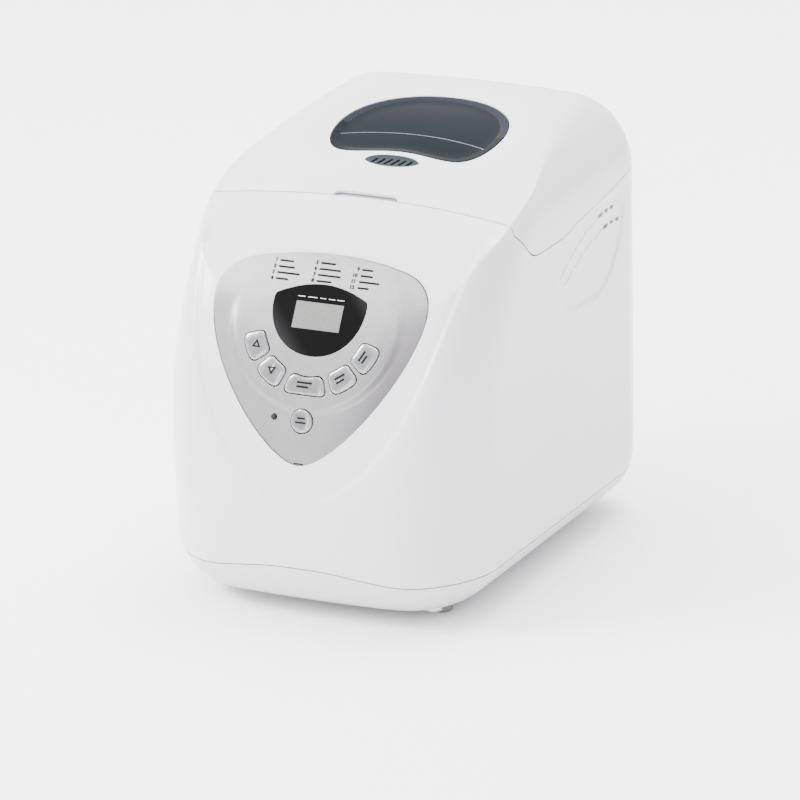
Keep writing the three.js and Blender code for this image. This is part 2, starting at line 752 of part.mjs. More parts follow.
function heatingElement() {
  const points = [
    new THREE.Vector3(-14, 132, 0),
    new THREE.Vector3(-14, ELEMENT_BACK, 0),
    new THREE.Vector3(-ELEMENT_X, ELEMENT_BACK, 0),
    new THREE.Vector3(-ELEMENT_X, ELEMENT_FRONT, 0),
    new THREE.Vector3(ELEMENT_X, ELEMENT_FRONT, 0),
    new THREE.Vector3(ELEMENT_X, ELEMENT_BACK, 0),
    new THREE.Vector3(14, ELEMENT_BACK, 0),
    new THREE.Vector3(14, 132, 0),
  ];
  add('heating_element', bentBar(points, 9, 3.2, ELEMENT_Z, 44), DARK_COAT);
  const probe = rodAlongY(3, -62, -40, 0, 120);
  const collar = rodAlongY(6, -51, -48.3, 0, 120);
  add('temperature_sensor', probe.add(collar), STEEL);
}

// ---- Pan ----

const HANDLE_Z = PAN_RIM + 5.5;
const HANDLE_REACH = 55;

function breadPan() {
  const outer = roundedRectangle(PAN_HALF_X, PAN_HALF_Y, 0, PAN_Y, 22);
  const inner = roundedRectangle(PAN_HALF_X - 1.5, PAN_HALF_Y - 1.5, 0, PAN_Y, 21);
  const brim = roundedRectangle(PAN_HALF_X + 4, PAN_HALF_Y + 4, 0, PAN_Y, 25);
  const ears = [-1, 1].map((sign) => {
    const x = sign * (PAN_HALF_X + 2);
    return block(x - 1, x + 1, PAN_Y - 6, PAN_Y + 6, PAN_RIM - 1, PAN_RIM + 11);
  });
  const tools = [
    prism(inner, PAN_BASE + 2, PAN_RIM + 20),
    rodAlongX(2.4, -90, 90, PAN_Y, HANDLE_Z),
    rod(4.4, PAN_BASE - 5, PAN_BASE + 8),
  ];
  const walls = prism(outer, PAN_BASE, PAN_RIM).add(prism(brim, PAN_RIM - 1.5, PAN_RIM));
  const pan = cut(join([walls, ...ears]), tools);
  add('bread_pan', pan, DARK_COAT);
  add('pan_collar', ring(38, 41, 64, PAN_BASE - GAP), STEEL);
  add('pan_seat', ring(41.4, 45, CHAMBER_FLOOR + 1.5, 70), STEEL);
  add('shaft_seal', ring(4.4, 9, PAN_BASE - 2.3, PAN_BASE - GAP), BLACK_RUBBER);
}

function panHandle() {
  const reach = PAN_HALF_X + 8;
  const front = PAN_Y - HANDLE_REACH;
  const points = [
    new THREE.Vector3(4 - PAN_HALF_X, PAN_Y, 0),
    new THREE.Vector3(-reach, PAN_Y, 0),
    new THREE.Vector3(-reach, front, 0),
    new THREE.Vector3(reach, front, 0),
    new THREE.Vector3(reach, PAN_Y, 0),
    new THREE.Vector3(PAN_HALF_X - 4, PAN_Y, 0),
  ];
  add('pan_handle', bentBar(points, 4.5, 1.9, HANDLE_Z, 30), STEEL);
}

// The paddle's blade rises from its hub to a leaning fin.
function kneadingPaddle() {
  const fin = new THREE.Shape();
  fin.moveTo(0, 0);
  fin.lineTo(40, 0);
  fin.quadraticCurveTo(46, 1, 45, 8);
  fin.quadraticCurveTo(40, 26, 24, 27);
  fin.quadraticCurveTo(10, 27, 0, 22);
  fin.lineTo(0, 0);
  const geometry = new THREE.ExtrudeGeometry(fin, { depth: 4, bevelEnabled: false, curveSegments: 4 });
  geometry.translate(0, 0, -2);
  geometry.rotateX(Math.PI / 2 - 0.2);
  geometry.translate(0, PAN_Y, PAN_BASE + 4.5);
  const hub = rod(8.5, PAN_BASE + 4, PAN_BASE + 28);
  const bore = rod(4.4, PAN_BASE, PAN_BASE + 24);
  add('kneading_paddle', hub.add(solidOf(geometry)).subtract(bore), DARK_COAT);
  add('paddle_shaft', rod(4, 68, PAN_BASE + 23), STEEL);
  const wings = block(-16, 16, PAN_Y - 3.5, PAN_Y + 3.5, 67.5, 73.3);
  add('pan_dog', join([wings, rod(9, 67.5, 73.3)]).subtract(rod(4.3, 60, 80)), STEEL);
}

// ---- Drive train ----

function driveTrain() {
  add('drive_shaft', rod(5, 12.5, 61.9), STEEL);
  const pegs = [-1, 1].map((sign) => rod(3, 64, 72, 0, PAN_Y + sign * 12.6, 12));
  add('drive_dog', join([rod(17, 62.2, 65.5), ...pegs]), STEEL);
  const rim = rod(DRIVE_PULLEY_RADIUS + 3, BELT_LOW - 2, BELT_HIGH + 2, 0, PAN_Y, 32);
  const groove = ring(
    DRIVE_PULLEY_RADIUS, DRIVE_PULLEY_RADIUS + 9, BELT_LOW - 0.4, BELT_HIGH + 0.4, 0, PAN_Y, 32);
  const dish = ring(13, DRIVE_PULLEY_RADIUS - 5, BELT_LOW + 2, BELT_HIGH + 4);
  add('drive_pulley', cut(rim, [groove, dish, rod(5.3, 0, 60)]), DARK_COAT);
  add('shaft_clip', ring(5.3, 8.5, BELT_LOW - 4, BELT_LOW - 2.4), STEEL);
  const housing = rod(15, CHASSIS + 2 + GAP, 56).add(rod(26, CHASSIS + 2 + GAP, CHASSIS + 5.3));
  add('bearing_housing', housing.subtract(rod(9, 20, 60)), STEEL);
  add('shaft_bush_lower', ring(5.3, 8.7, CHASSIS + 3, CHASSIS + 11), BRONZE);
  add('shaft_bush_upper', ring(5.3, 8.7, 47, 55), BRONZE);
}

// Outline round two circles, as a stretched belt takes it.
function beltOutline(grow) {
  const near = new THREE.Vector2(MOTOR_X, MOTOR_Y);
  const far = new THREE.Vector2(0, PAN_Y);
  const span = far.clone().sub(near);
  const swing = Math.acos((MOTOR_PULLEY_RADIUS - DRIVE_PULLEY_RADIUS) / span.length());
  const heading = span.angle();
  const shape = new THREE.Shape();
  const turn = Math.PI - swing;
  const farRadius = DRIVE_PULLEY_RADIUS + grow;
  const nearRadius = MOTOR_PULLEY_RADIUS + grow;
  shape.absarc(far.x, far.y, farRadius, heading - swing, heading + swing, false);
  shape.absarc(near.x, near.y, nearRadius, heading + Math.PI - turn, heading + Math.PI + turn, false);
  return shape;
}

function driveBelt() {
  const outer = prism(beltOutline(2.8), BELT_LOW, BELT_HIGH, 14);
  const inner = prism(beltOutline(0.8), BELT_LOW - 1, BELT_HIGH + 1, 14);
  add('drive_belt', outer.subtract(inner), BLACK_RUBBER);
}

function motor() {
  const low = CHASSIS + 2 + GAP;
  const plate = block(MOTOR_X - 36, MOTOR_X + 36, MOTOR_Y - 36, MOTOR_Y + 36, low + 6, low + 8);
  const legs = corners(31, 31).map(([x, y]) => rod(4, low, low + 7, MOTOR_X + x, MOTOR_Y + y, 12));
  const hole = rod(7, 0, 80, MOTOR_X, MOTOR_Y);
  add('motor_bracket', join([plate, ...legs]).subtract(hole), STEEL);
  const can = rod(33, low + 8.3, 118, MOTOR_X, MOTOR_Y, 24);
  const cap = rod(14, 110, 121, MOTOR_X, MOTOR_Y);
  add('motor', can.add(cap).subtract(rod(4.4, 20, 140, MOTOR_X, MOTOR_Y)), STEEL);
  add('motor_shaft', rod(4, 14, 132, MOTOR_X, MOTOR_Y), STEEL);
  const rim = rod(MOTOR_PULLEY_RADIUS + 3, BELT_LOW - 2, BELT_HIGH + 2, MOTOR_X, MOTOR_Y, 24);
  const groove = ring(
    MOTOR_PULLEY_RADIUS, MOTOR_PULLEY_RADIUS + 9, BELT_LOW - 0.4, BELT_HIGH + 0.4, MOTOR_X, MOTOR_Y);
  const bore = rod(4.3, 0, 60, MOTOR_X, MOTOR_Y);
  add('motor_pulley', cut(rim, [groove, bore]), STEEL);

  const hub = rod(8, 122, 131, MOTOR_X, MOTOR_Y);
  const blades = [];
  for (let i = 0; i < 6; i += 1) {
    const blade = new THREE.BoxGeometry(22, 1.6, 9);
    blade.rotateX(0.5);
    blade.translate(17, 0, 126.5);
    blade.rotateZ((i * Math.PI) / 3);
    blade.translate(MOTOR_X, MOTOR_Y, 0);
    blades.push(solidOf(blade));
  }
  const eye = rod(4.3, 100, 150, MOTOR_X, MOTOR_Y);
  add('motor_fan', join([hub, ...blades]).subtract(eye), BLUE_GREY);
}

function chassis() {
  const outline = roundedRectangle(98, 140, 0, 0, 30);
  const plate = prism(outline, CHASSIS, CHASSIS + 2).intersect(CLEAR_INSIDE);
  const tools = [
    rod(8, 20, 50),
    rod(7, 20, 50, MOTOR_X, MOTOR_Y),
  ];
  add('chassis_plate', cut(plate, tools), STEEL);
  const board = block(103, 104.6, -30, 70, 80, 160);
  const relay = block(104, 115, 30, 50, 100, 130);
  const transformer = block(104, 116, -20, 15, 90, 125);
  add('power_board', join([board, relay, transformer]), BOARD_GREEN);
}

baseTray();
feet();
bodyShell();
topDeck();
controlPanel();
buttons();
controlBoard();
lidCover();
lidVentGrille();
lidLiner();
hinges();
ovenChamber();
heatingElement();
breadPan();
panHandle();
kneadingPaddle();
driveTrain();
driveBelt();
motor();
chassis();

export default machine;
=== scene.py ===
"""Bread machine: the looks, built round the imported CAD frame.

Shapes are worked out in millimetres in the frame's own axes (front to -Y, +Z up)
and turned into metres when a mesh is made.
"""
import json
import math

import bmesh
import bpy
import numpy as np
from mathutils import Matrix, Vector


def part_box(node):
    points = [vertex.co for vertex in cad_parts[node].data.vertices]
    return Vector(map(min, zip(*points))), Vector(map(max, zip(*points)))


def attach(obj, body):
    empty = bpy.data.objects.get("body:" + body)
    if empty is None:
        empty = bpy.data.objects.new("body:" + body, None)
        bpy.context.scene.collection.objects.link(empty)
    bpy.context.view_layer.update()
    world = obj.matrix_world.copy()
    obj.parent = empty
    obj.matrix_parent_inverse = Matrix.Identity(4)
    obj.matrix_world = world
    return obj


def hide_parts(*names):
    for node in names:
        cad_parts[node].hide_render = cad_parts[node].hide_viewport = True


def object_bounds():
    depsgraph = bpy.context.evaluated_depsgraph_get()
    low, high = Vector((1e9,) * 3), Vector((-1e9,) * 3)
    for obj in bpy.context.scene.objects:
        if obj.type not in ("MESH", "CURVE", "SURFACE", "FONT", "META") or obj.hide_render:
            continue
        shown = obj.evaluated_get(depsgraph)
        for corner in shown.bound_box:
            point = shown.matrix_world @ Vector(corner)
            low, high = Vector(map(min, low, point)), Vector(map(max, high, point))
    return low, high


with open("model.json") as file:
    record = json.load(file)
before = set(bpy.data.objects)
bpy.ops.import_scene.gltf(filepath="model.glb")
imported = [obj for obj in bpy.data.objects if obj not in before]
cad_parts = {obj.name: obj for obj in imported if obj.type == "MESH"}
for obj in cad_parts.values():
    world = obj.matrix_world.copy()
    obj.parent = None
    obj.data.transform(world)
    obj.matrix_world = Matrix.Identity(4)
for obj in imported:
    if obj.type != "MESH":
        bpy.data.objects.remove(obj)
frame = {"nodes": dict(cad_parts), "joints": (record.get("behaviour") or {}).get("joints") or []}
CAD_LOW, CAD_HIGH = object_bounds()
MM = 0.001

# ---- Driving dimensions, in millimetres ----

WIDTH = (CAD_HIGH.x - CAD_LOW.x) / MM
DEPTH = (CAD_HIGH.y - CAD_LOW.y) / MM
FRONT = -DEPTH / 2
TOP = CAD_HIGH.z / MM - 1.3
CROWN_RISE = 0.025
CREST_RISE = 0.111
CREST_START = -20
CREST_BLEND = 6
CROWN_RADIUS = 1300
UNDERSIDE = 7
FACET_START = 59.4
FACET_RADIUS = 298.4
LID_FRONT_RADIUS = 89.8
SHOULDER_RADIUS = 49.7
BACK_RADIUS = 46.3
FRONT_RADIUS_LOW = 58.5
FRONT_RADIUS_MID = 38.4
FRONT_RADIUS_HIGH = 34
BOTTOM_RADIUS = 42.6
TUMBLEHOME = 0.006
TUMBLEHOME_TOP = 110
BULGE_RADIUS = 420
BULGE_DEPTH = 14
CREASE = 4
CASING_CENTRE = 155
SKIN = 2.5
GAP = 0.3
SEAM = 0.8
CELL = 2.1

BASE_SEAM = 33.5
BASE_ARCH = 8

PANEL_HEIGHT = 183
PANEL_TILT = math.radians(25)
PANEL_HALF_WIDTH = 81
PANEL_TIP = -69
PANEL_SHOULDER = 44
PANEL_CREST = 80
PANEL_PROUD = 0.3
PANEL_STEP_RADIUS = 64
PANEL_STEP = 1.6
BUTTON_ARC_CENTRE = 31.6
BUTTON_ARC_INNER = 39.5
BUTTON_ARC_OUTER = 54.5
START_RADIUS = 8
START_DROP = -38.8
STATUS_X = -21.5
STATUS_DROP = -37.9
LCD_HALF_X = 18.3
LCD_LOW = 25
LCD_HIGH = 44.5

VENT_Y = -6
VENT_HALF_X = 20.5
VENT_HALF_Y = 7.5
LID_CENTRE = np.array([0.0, 50.0])
NOTCH_EDGE = -45.6
HINGE_CLEARANCE = 5.8
INLET_RADIUS = 8.3
SLOT_GAP = 3.2
SLOT_DEPTH = 9
GROOVE_DEPTH = 0.35

BUTTON_GAP = 0.8
CAP_SINK = 0.35
MARK_LIFT = 2.3
PRINT_LIFT = 0.05

TUB_EDGE = 7.0
BAIL_RADIUS = 1.8
ELEMENT_RADIUS = 3.1


def joint(name):
    return next(j for j in frame["joints"] if j["name"] == name)


HINGE_Y = joint("lid_open")["pos_m"][1] / MM
HINGE_Z = joint("lid_open")["pos_m"][2] / MM
PAN_Y = joint("drive_spin")["pos_m"][1] / MM


def node_box(name):
    low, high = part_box(name)
    return Vector(low) / MM, Vector(high) / MM


# ---- Casing surface ----


def smoothstep(x, low, high):
    t = np.clip((x - low) / (high - low), 0, 1)
    return t * t * (3 - 2 * t)


def rounded_meet(a, b, radius):
    u = np.maximum(a + radius, 0)
    v = np.maximum(b + radius, 0)
    return np.hypot(u, v) - radius + np.minimum(np.maximum(a + radius, b + radius), 0)


def soft_max(a, b, reach):
    h = np.maximum(reach - np.abs(a - b), 0) / reach
    return np.maximum(a, b) + h * h * reach / 4


def casing_distance(x, y, z):
    """Distance outside (+) or inside (-) the casing's outer surface."""
    arc_y = FRONT + FACET_RADIUS
    facet = np.hypot(np.minimum(y - arc_y, 0), np.maximum(z - FACET_START, 0)) - FACET_RADIUS
    bulge = facet - BULGE_DEPTH * smoothstep(z, 70, 330) + x * x / (2 * BULGE_RADIUS) - 1
    bulge = np.maximum(bulge, -400)
    camber = x * x / (2 * CROWN_RADIUS)
    top = z - TOP - CROWN_RISE * np.clip(y, 0, 200) + camber
    crest = z - TOP - CREST_RISE * np.clip(y - CREST_START, 0, 200) + camber
    back = y - DEPTH / 2
    low = np.maximum(TUMBLEHOME_TOP - z, 0)
    side = np.abs(x) - WIDTH / 2 + TUMBLEHOME * low * low / 100
    radius = (
        FRONT_RADIUS_LOW
        + (FRONT_RADIUS_MID - FRONT_RADIUS_LOW) * smoothstep(z, 60, 180)
        + (FRONT_RADIUS_HIGH - FRONT_RADIUS_MID) * smoothstep(z, 180, 290)
    )
    front_side = rounded_meet(bulge, side, radius)
    back_side = rounded_meet(back, side, BACK_RADIUS)
    plan = soft_max(np.maximum(front_side, back_side), facet, CREASE)
    upper = soft_max(
        rounded_meet(plan, top, SHOULDER_RADIUS),
        rounded_meet(facet, crest, LID_FRONT_RADIUS),
        0.01 + CREST_BLEND * smoothstep(y, -30, 60),
    )
    return rounded_meet(upper, UNDERSIDE - z, BOTTOM_RADIUS)


def last_within(test, low, high, steps):
    """The farthest values, found by halving, for which a test still holds."""
    for _ in range(steps):
        middle = (low + high) / 2
        holds = test(middle)
        low = np.where(holds, middle, low)
        high = np.where(holds, high, middle)
    return low


def outline_distance(px, py, outline):
    """Signed distance from points to a closed outline, negative inside it."""
    a = outline
    b = np.roll(outline, -1, axis=0)
    best = np.full(px.shape, 1e9)
    inside = np.zeros(px.shape, bool)
    for (ax, ay), (bx, by) in zip(a, b):
        dx, dy = bx - ax, by - ay
        t = np.clip(((px - ax) * dx + (py - ay) * dy) / (dx * dx + dy * dy + 1e-12), 0, 1)
        best = np.minimum(best, np.hypot(px - ax - t * dx, py - ay - t * dy))
        crosses = (ay > py) != (by > py)
        slope = dx / dy if dy else 0
        inside ^= crosses & (px < ax + (py - ay) * slope)
    return np.where(inside, -best, best)


# ---- Outlines ----


def bezier(points, steps):
    """Points along a quadratic or cubic Bezier curve, without its last point."""
    t = np.linspace(0, 1, steps, endpoint=False)[:, None]
    p = np.array(points, float)
    if len(p) == 3:
        return (1 - t) ** 2 * p[0] + 2 * t * (1 - t) * p[1] + t * t * p[2]
    return (
        (1 - t) ** 3 * p[0]
        + 3 * t * (1 - t) ** 2 * p[1]
        + 3 * t * t * (1 - t) * p[2]
        + t ** 3 * p[3]
    )


def mirrored(half):
    """A closed outline from its right half, which runs from bottom to top."""
    left = half[::-1] * [-1, 1]
    return np.vstack([half, left[1:-1]] if abs(half[-1][0]) < 1e-6 else [half, left[:-1]])


def shield_outline(grow=0.0, steps=22):
    wide = PANEL_HALF_WIDTH + grow
    tip = PANEL_TIP - grow
    crest = PANEL_CREST + grow
    half = np.vstack([
        bezier([(0, tip), (26, tip), (wide, -2), (wide, PANEL_SHOULDER)], steps),
        bezier([(wide, PANEL_SHOULDER), (wide, 60), (70 + grow, 70.5 + grow), (52, 74 + grow)],
               steps),
        bezier([(52, 74 + grow), (26, crest), (0, crest)], steps),
        [(0, crest)],
    ])
    return mirrored(half)


def display_outline(grow=0.0, steps=16):
    half = 35.5 + grow
    low = 6.5 - grow
    right = np.vstack([
        bezier([(0, low), (22, low), (half, 24), (half, 43)], steps),
        bezier([(half, 43), (half, 47 + grow), (half - 1.2, 48.4 + grow)], 6),
        bezier([(half - 1.2, 48.4 + grow), (17, 57.5 + grow), (0, 57.5 + grow)], steps),
        [(0, 57.5 + grow)],
    ])
    return mirrored(right)


def window_outline(grow=0.0, steps=24):
    back = 100 + grow
    side = 64 + grow
    front = 9 - grow
    lobe = 4 - grow
    half = np.vstack([
        bezier([(0, front), (16, front), (27, lobe), (42, lobe)], steps),
        bezier([(42, lobe), (56, lobe), (side, 20), (side, 42)], steps),
        bezier([(side, 42), (side, 70 + grow), (42 + grow, back), (0, back)], 2 * steps),
        [(0, back)],
    ])
    return mirrored(half)


def ellipse_outline(x, y, half_x, half_y, steps=64):
    t = bearings(steps)
    return np.column_stack([x + half_x * np.cos(t), y + half_y * np.sin(t)])


def rectangle(x0, x1, y0, y1):
    return [(x0, y0), (x1, y0), (x1, y1), (x0, y1)]


def bearings(count):
    """Evenly spaced angles round a circle."""
    return np.linspace(0, 2 * math.pi, count, endpoint=False)


def rounded_outline(corners, radius, steps=7):
    """Closed outline through the corners, each one rounded."""
    corners = np.array(corners, float)
    rows = []
    for i, corner in enumerate(corners):
        before = corners[i - 1] - corner
        after = corners[(i + 1) % len(corners)] - corner
        reach = min(radius, 0.49 * np.linalg.norm(before), 0.49 * np.linalg.norm(after))
        entry = corner + before / np.linalg.norm(before) * reach
        leave = corner + after / np.linalg.norm(after) * reach
        rows.append(bezier([entry, corner, leave], steps))
        rows.append([leave])
    return np.vstack(rows)


def rounded_rectangle(half_x, half_y, x, y, radius, steps=9):
    """A closed outline with circular corners."""
    rows = []
    for i, (sx, sy) in enumerate([(1, 1), (-1, 1), (-1, -1), (1, -1)]):
        t = np.linspace(0, math.pi / 2, steps) + i * math.pi / 2
        cx = x + sx * (half_x - radius)
        cy = y + sy * (half_y - radius)
        rows.append(np.column_stack([cx + radius * np.cos(t), cy + radius * np.sin(t)]))
    return np.vstack(rows)


BUTTON_ANGLES = {
    "button_time_up": -62.5,
    "button_time_down": -34.8,
    "button_loaf_size": 0,
    "button_menu": 34.8,
    "button_crust_colour": 62.5,
}


BUTTONS = [*BUTTON_ANGLES, "button_start_stop"]


def button_outline(name, grow=0.0):
    if name == "button_start_stop":
        return ellipse_outline(0, START_DROP, START_RADIUS + grow, START_RADIUS + grow, 48)
    angle = math.radians(BUTTON_ANGLES[name])
    wide = name == "button_loaf_size"
    half = math.radians(17.5 if wide else 11.5) + grow / BUTTON_ARC_OUTER
    waist = 2.4 if wide else -0.8
    inner = BUTTON_ARC_INNER - grow
    outer = BUTTON_ARC_OUTER + grow

    def at(radius, turn):
        return radius * math.sin(turn), BUTTON_ARC_CENTRE - radius * math.cos(turn)

    corners = [
        at(inner, angle - half),
        at(outer, angle - half),
        at(outer - waist, angle),
        at(outer, angle + half),
        at(inner, angle + half),
        at(inner + waist / 2, angle),
    ]
    return rounded_outline(corners, 6.0)


# ---- Mesh making ----


def new_object(name, mesh):
    obj = bpy.data.objects.new(name, mesh)
    bpy.context.scene.collection.objects.link(obj)
    return obj


def make(name, verts, faces, smooth=True):
    """An object from points in millimetres and faces, its normals turned outwards."""
    mesh = bpy.data.meshes.new(name)
    mesh.from_pydata((np.asarray(verts, float) * MM).tolist(), [], [list(f) for f in faces])
    mesh.update()
    work = bmesh.new()
    work.from_mesh(mesh)
    bmesh.ops.recalc_face_normals(work, faces=work.faces)
    work.to_mesh(mesh)
    work.free()
    for polygon in mesh.polygons:
        polygon.use_smooth = smooth
    return new_object(name, mesh)


def sharpen(obj, angle=35):
    obj.data.set_sharp_from_angle(angle=math.radians(angle))


def loft(name, rings, closed=False, caps=True, smooth=True):
    """A skin over rings of equal length; the first and last are capped or joined."""
    rings = [np.asarray(r, float) for r in rings]
    n = len(rings[0])
    faces = []
    count = len(rings)
    for i in range(count if closed else count - 1):
        low = i * n
        high = ((i + 1) % count) * n
        for j in range(n):
            k = (j + 1) % n
            faces.append((low + j, low + k, high + k, high + j))
    if caps and not closed:
        faces.append(tuple(range(n))[::-1])
        faces.append(tuple(range((count - 1) * n, count * n)))
    obj = make(name, np.vstack(rings), faces, smooth)
    sharpen(obj)
    return obj


def ring_at(outline, z):
    """The outline in space, at one height or at a height for each point."""
    return np.column_stack([outline, np.full(len(outline), z)])


def prism(name, outline, low, high):
    return loft(name, [ring_at(outline, low), ring_at(outline, high)], smooth=False)


def lathe(name, profile, x=0.0, y=None, sides=64):
    """A turned piece about an upright axis; the profile's ends lie on the axis or meet."""
    y = PAN_Y if y is None else y
    on_axis = profile[0][0] == 0
    rings = []
    for radius, z in profile:
        r = max(radius, 0.01)
        rings.append(ring_at(ellipse_outline(x, y, r, r, sides), z))
    return loft(name, rings, closed=not on_axis, caps=on_axis)


UPRIGHT = Matrix(((0, 0, 1, 0), (1, 0, 0, 0), (0, 1, 0, 0), (0, 0, 0, 1)))


def shift_by(x, y, z):
    return Matrix.Translation(Vector((x, y, z)) * MM)


def quarter_turn(axis):
    return Matrix.Rotation(math.pi / 2, 4, axis)


def turned(obj, matrix):
    obj.data.transform(matrix)
    return obj


def sweep(name, path, radius, sides=20):
    """A round bar along a path, with flat ends."""
    path = np.asarray(path, float)
    tangents = np.gradient(path, axis=0)
    tangents /= np.linalg.norm(tangents, axis=1)[:, None]
    up = np.array([0.0, 0.0, 1.0])
    t = bearings(sides)
    rings = []
    for point, tangent in zip(path, tangents):
        side = np.cross(up, tangent)
        side /= np.linalg.norm(side)
        rise = np.cross(tangent, side)
        rings.append(point + radius * (np.cos(t)[:, None] * side + np.sin(t)[:, None] * rise))
    return loft(name, rings)


def bent_path(points, bend, step=2.0, turns=10):
    """A path along straight runs, with a round corner at each inner point."""
    points = np.array(points, float)
    rows = [points[0]]
    for i in range(1, len(points) - 1):
        back = points[i - 1] - points[i]
        on = points[i + 1] - points[i]
        entry = points[i] + back / np.linalg.norm(back) * bend
        leave = points[i] + on / np.linalg.norm(on) * bend
        rows.extend(straight(rows[-1], entry, step))
        rows.extend(bezier([entry, points[i], leave], turns))
        rows.append(leave)
    rows.extend(straight(rows[-1], points[-1], step))
    rows.append(points[-1])
    return np.array(rows)


def straight(start, end, step):
    count = max(2, int(np.linalg.norm(end - start) / step))
    return [start + (end - start) * i / count for i in range(1, count)]


def carve(obj, cutters, operation="DIFFERENCE"):
    """Applies booleans with the cutters, then removes the cutters."""
    for cutter in cutters:
        modifier = obj.modifiers.new("cut", "BOOLEAN")
        modifier.solver = "MANIFOLD"
        modifier.operation = operation
        modifier.object = cutter
    graph = bpy.context.evaluated_depsgraph_get()
    mesh = bpy.data.meshes.new_from_object(obj.evaluated_get(graph))
    obj.modifiers.clear()
    obj.data = mesh
    for cutter in cutters:
        bpy.data.objects.remove(cutter)
    return obj


def block(name, x0, x1, y0, y1, z0, z1):
    return prism(name, np.array(rectangle(x0, x1, y0, y1), float), z0, z1)


def copy_of(obj, name):
    return new_object(name, obj.data.copy())


def joined(name, pieces):
    """One object from several, keeping each one's mesh."""
    work = bmesh.new()
    for piece in pieces:
        work.from_mesh(piece.data)
    mesh = bpy.data.meshes.new(name)
    work.to_mesh(mesh)
    work.free()
    for piece in pieces:
        bpy.data.objects.remove(piece)
    return new_object(name, mesh)


# ---- Fine casing meshes ----

WINDOW_DISH = 2.2
SIDE_HOLLOW = 1.5
U_RIM = 1.5
VENT_ROWS = [
    [(10, 214), (62, 249), (121, 240)],
    [(18, 207.5), (68, 236), (118, 229.5)],
]
DARK_SLOTS = 3
RECESS = np.vstack([
    bezier([(4, 200), (8, 186), (44, 183), (72, 183)], 14),
    bezier([(72, 183), (100, 186), (121, 214), (122, 238)], 14),
    bezier([(122, 238), (118, 256), (84, 254), (60, 250)], 14),
    bezier([(60, 250), (30, 242), (2, 222), (4, 200)], 14),
])


U_OUTLINE = mirrored(np.vstack([
    bezier([(0, 91.3), (34, 91.3), (58, 120), (75, 152)], 12),
    bezier([(75, 152), (88, 178), (97, 215), (104, 262)], 12),
    [(104, 262), (107, 300), (0, 300)],
]))


def relief(x, y, z):
    """Depth of the shapes moulded into the casing; below nought they stand proud."""
    depth = np.zeros(x.shape)
    near = (z > 270) & (np.abs(x) < 100)
    if near.any():
        distance = outline_distance(x[near], y[near], window_outline(0, 8))
        depth[near] = WINDOW_DISH * (1 - smoothstep(distance, 1.0, 19.0))
    near = (np.abs(x) > WIDTH / 2 - 3) & (z > 170) & (z < 262) & (y > -10) & (y < 135)
    if near.any():
        distance = outline_distance(y[near], z[near], RECESS)
        depth[near] += SIDE_HOLLOW * (1 - smoothstep(distance, -3.5, 1.0))
    near = (y < -40) & (z > 40) & (z < 275)
    if near.any():
        distance = outline_distance(x[near], z[near], U_OUTLINE)
        rim = smoothstep(distance, -2.2, 2.2) * (1 - smoothstep(distance, 5, 38))
        rim = rim * (1 - smoothstep(np.abs(x[near]), 104, 119))
        depth[near] -= U_RIM * rim * (1 - smoothstep(z[near], 262, 272))
    return depth


def grid_cells(cell):
    return [2 * round(size / cell / 2) for size in (WIDTH, DEPTH, TOP)]


def box_grid(cells):
    """Points and faces of a box from -1 to 1, each side divided into cells."""
    nx, ny, nz = cells
    quads = []
    for axis, (n, m) in enumerate([(ny, nz), (nx, nz), (nx, ny)]):
        i, j = np.meshgrid(np.arange(n), np.arange(m), indexing="ij")
        others = [k for k in range(3) if k != axis]
        for end in (0, cells[axis]):
            corners = []
            for di, dj in ((0, 0), (1, 0), (1, 1), (0, 1)):
                point = np.zeros(i.shape + (3,), int)
                point[..., axis] = end
                point[..., others[0]] = i + di
                point[..., others[1]] = j + dj
                corners.append(point.reshape(-1, 3))
            if (end == 0) != (axis == 1):
                corners = corners[::-1]
            quads.append(np.stack(corners, axis=1))
    quads = np.concatenate(quads)
    key = (quads[..., 0] * (ny + 1) + quads[..., 1]) * (nz + 1) + quads[..., 2]
    keys, index = np.unique(key, return_inverse=True)
    ijk = np.column_stack([
        keys // ((ny + 1) * (nz + 1)), keys // (nz + 1) % (ny + 1), keys % (nz + 1)
    ])
    points = ijk / np.array(cells) * 2 - 1
    return points, index.reshape(key.shape)


def moulding_points(level, cell):
    """The casing surface at a level, met by rays from inside."""
    points, faces = box_grid(grid_cells(cell))
    points = points + 0.35 * np.sin(math.pi * points) / math.pi
    rays = points * [WIDTH / 2, DEPTH / 2, TOP / 2]
    centre = np.array([0, 0, CASING_CENTRE])

    def inside(t):
        return casing_distance(*(rays * t[:, None] + centre).T) < level

    reach = last_within(inside, np.zeros(len(rays)), np.full(len(rays), 1.6), 30)
    verts = rays * reach[:, None] + centre
    depth = relief(*verts.T)
    verts = verts - surface_normals(verts, casing_distance) * depth[:, None]
    limit = np.array([WIDTH / 2, DEPTH / 2, np.inf]) - 0.005
    return np.clip(verts, -limit, limit), faces


def moulded_distance(x, y, z):
    return casing_distance(x, y, z) + relief(x, y, z)


def surface_normals(points, distance):
    """Unit normals of a surface from the slope of its distance."""
    slope = np.zeros_like(points)
    for axis in range(3):
        step = np.eye(3)[axis] * 0.25
        slope[:, axis] = distance(*(points + step).T) - distance(*(points - step).T)
    return slope / np.maximum(np.linalg.norm(slope, axis=1), 1e-9)[:, None]


def casing_shell():
    outer, outer_faces = moulding_points(0.0, CELL)
    inner, inner_faces = moulding_points(-SKIN, 2 * CELL)
    mesh = bpy.data.meshes.new("casing_shell")
    verts = np.vstack([outer, inner]) * MM
    faces = outer_faces.tolist() + (inner_faces[:, ::-1] + len(outer)).tolist()
    mesh.from_pydata(verts.tolist(), [], faces)
    mesh.update()
    return new_object("casing_shell", mesh)


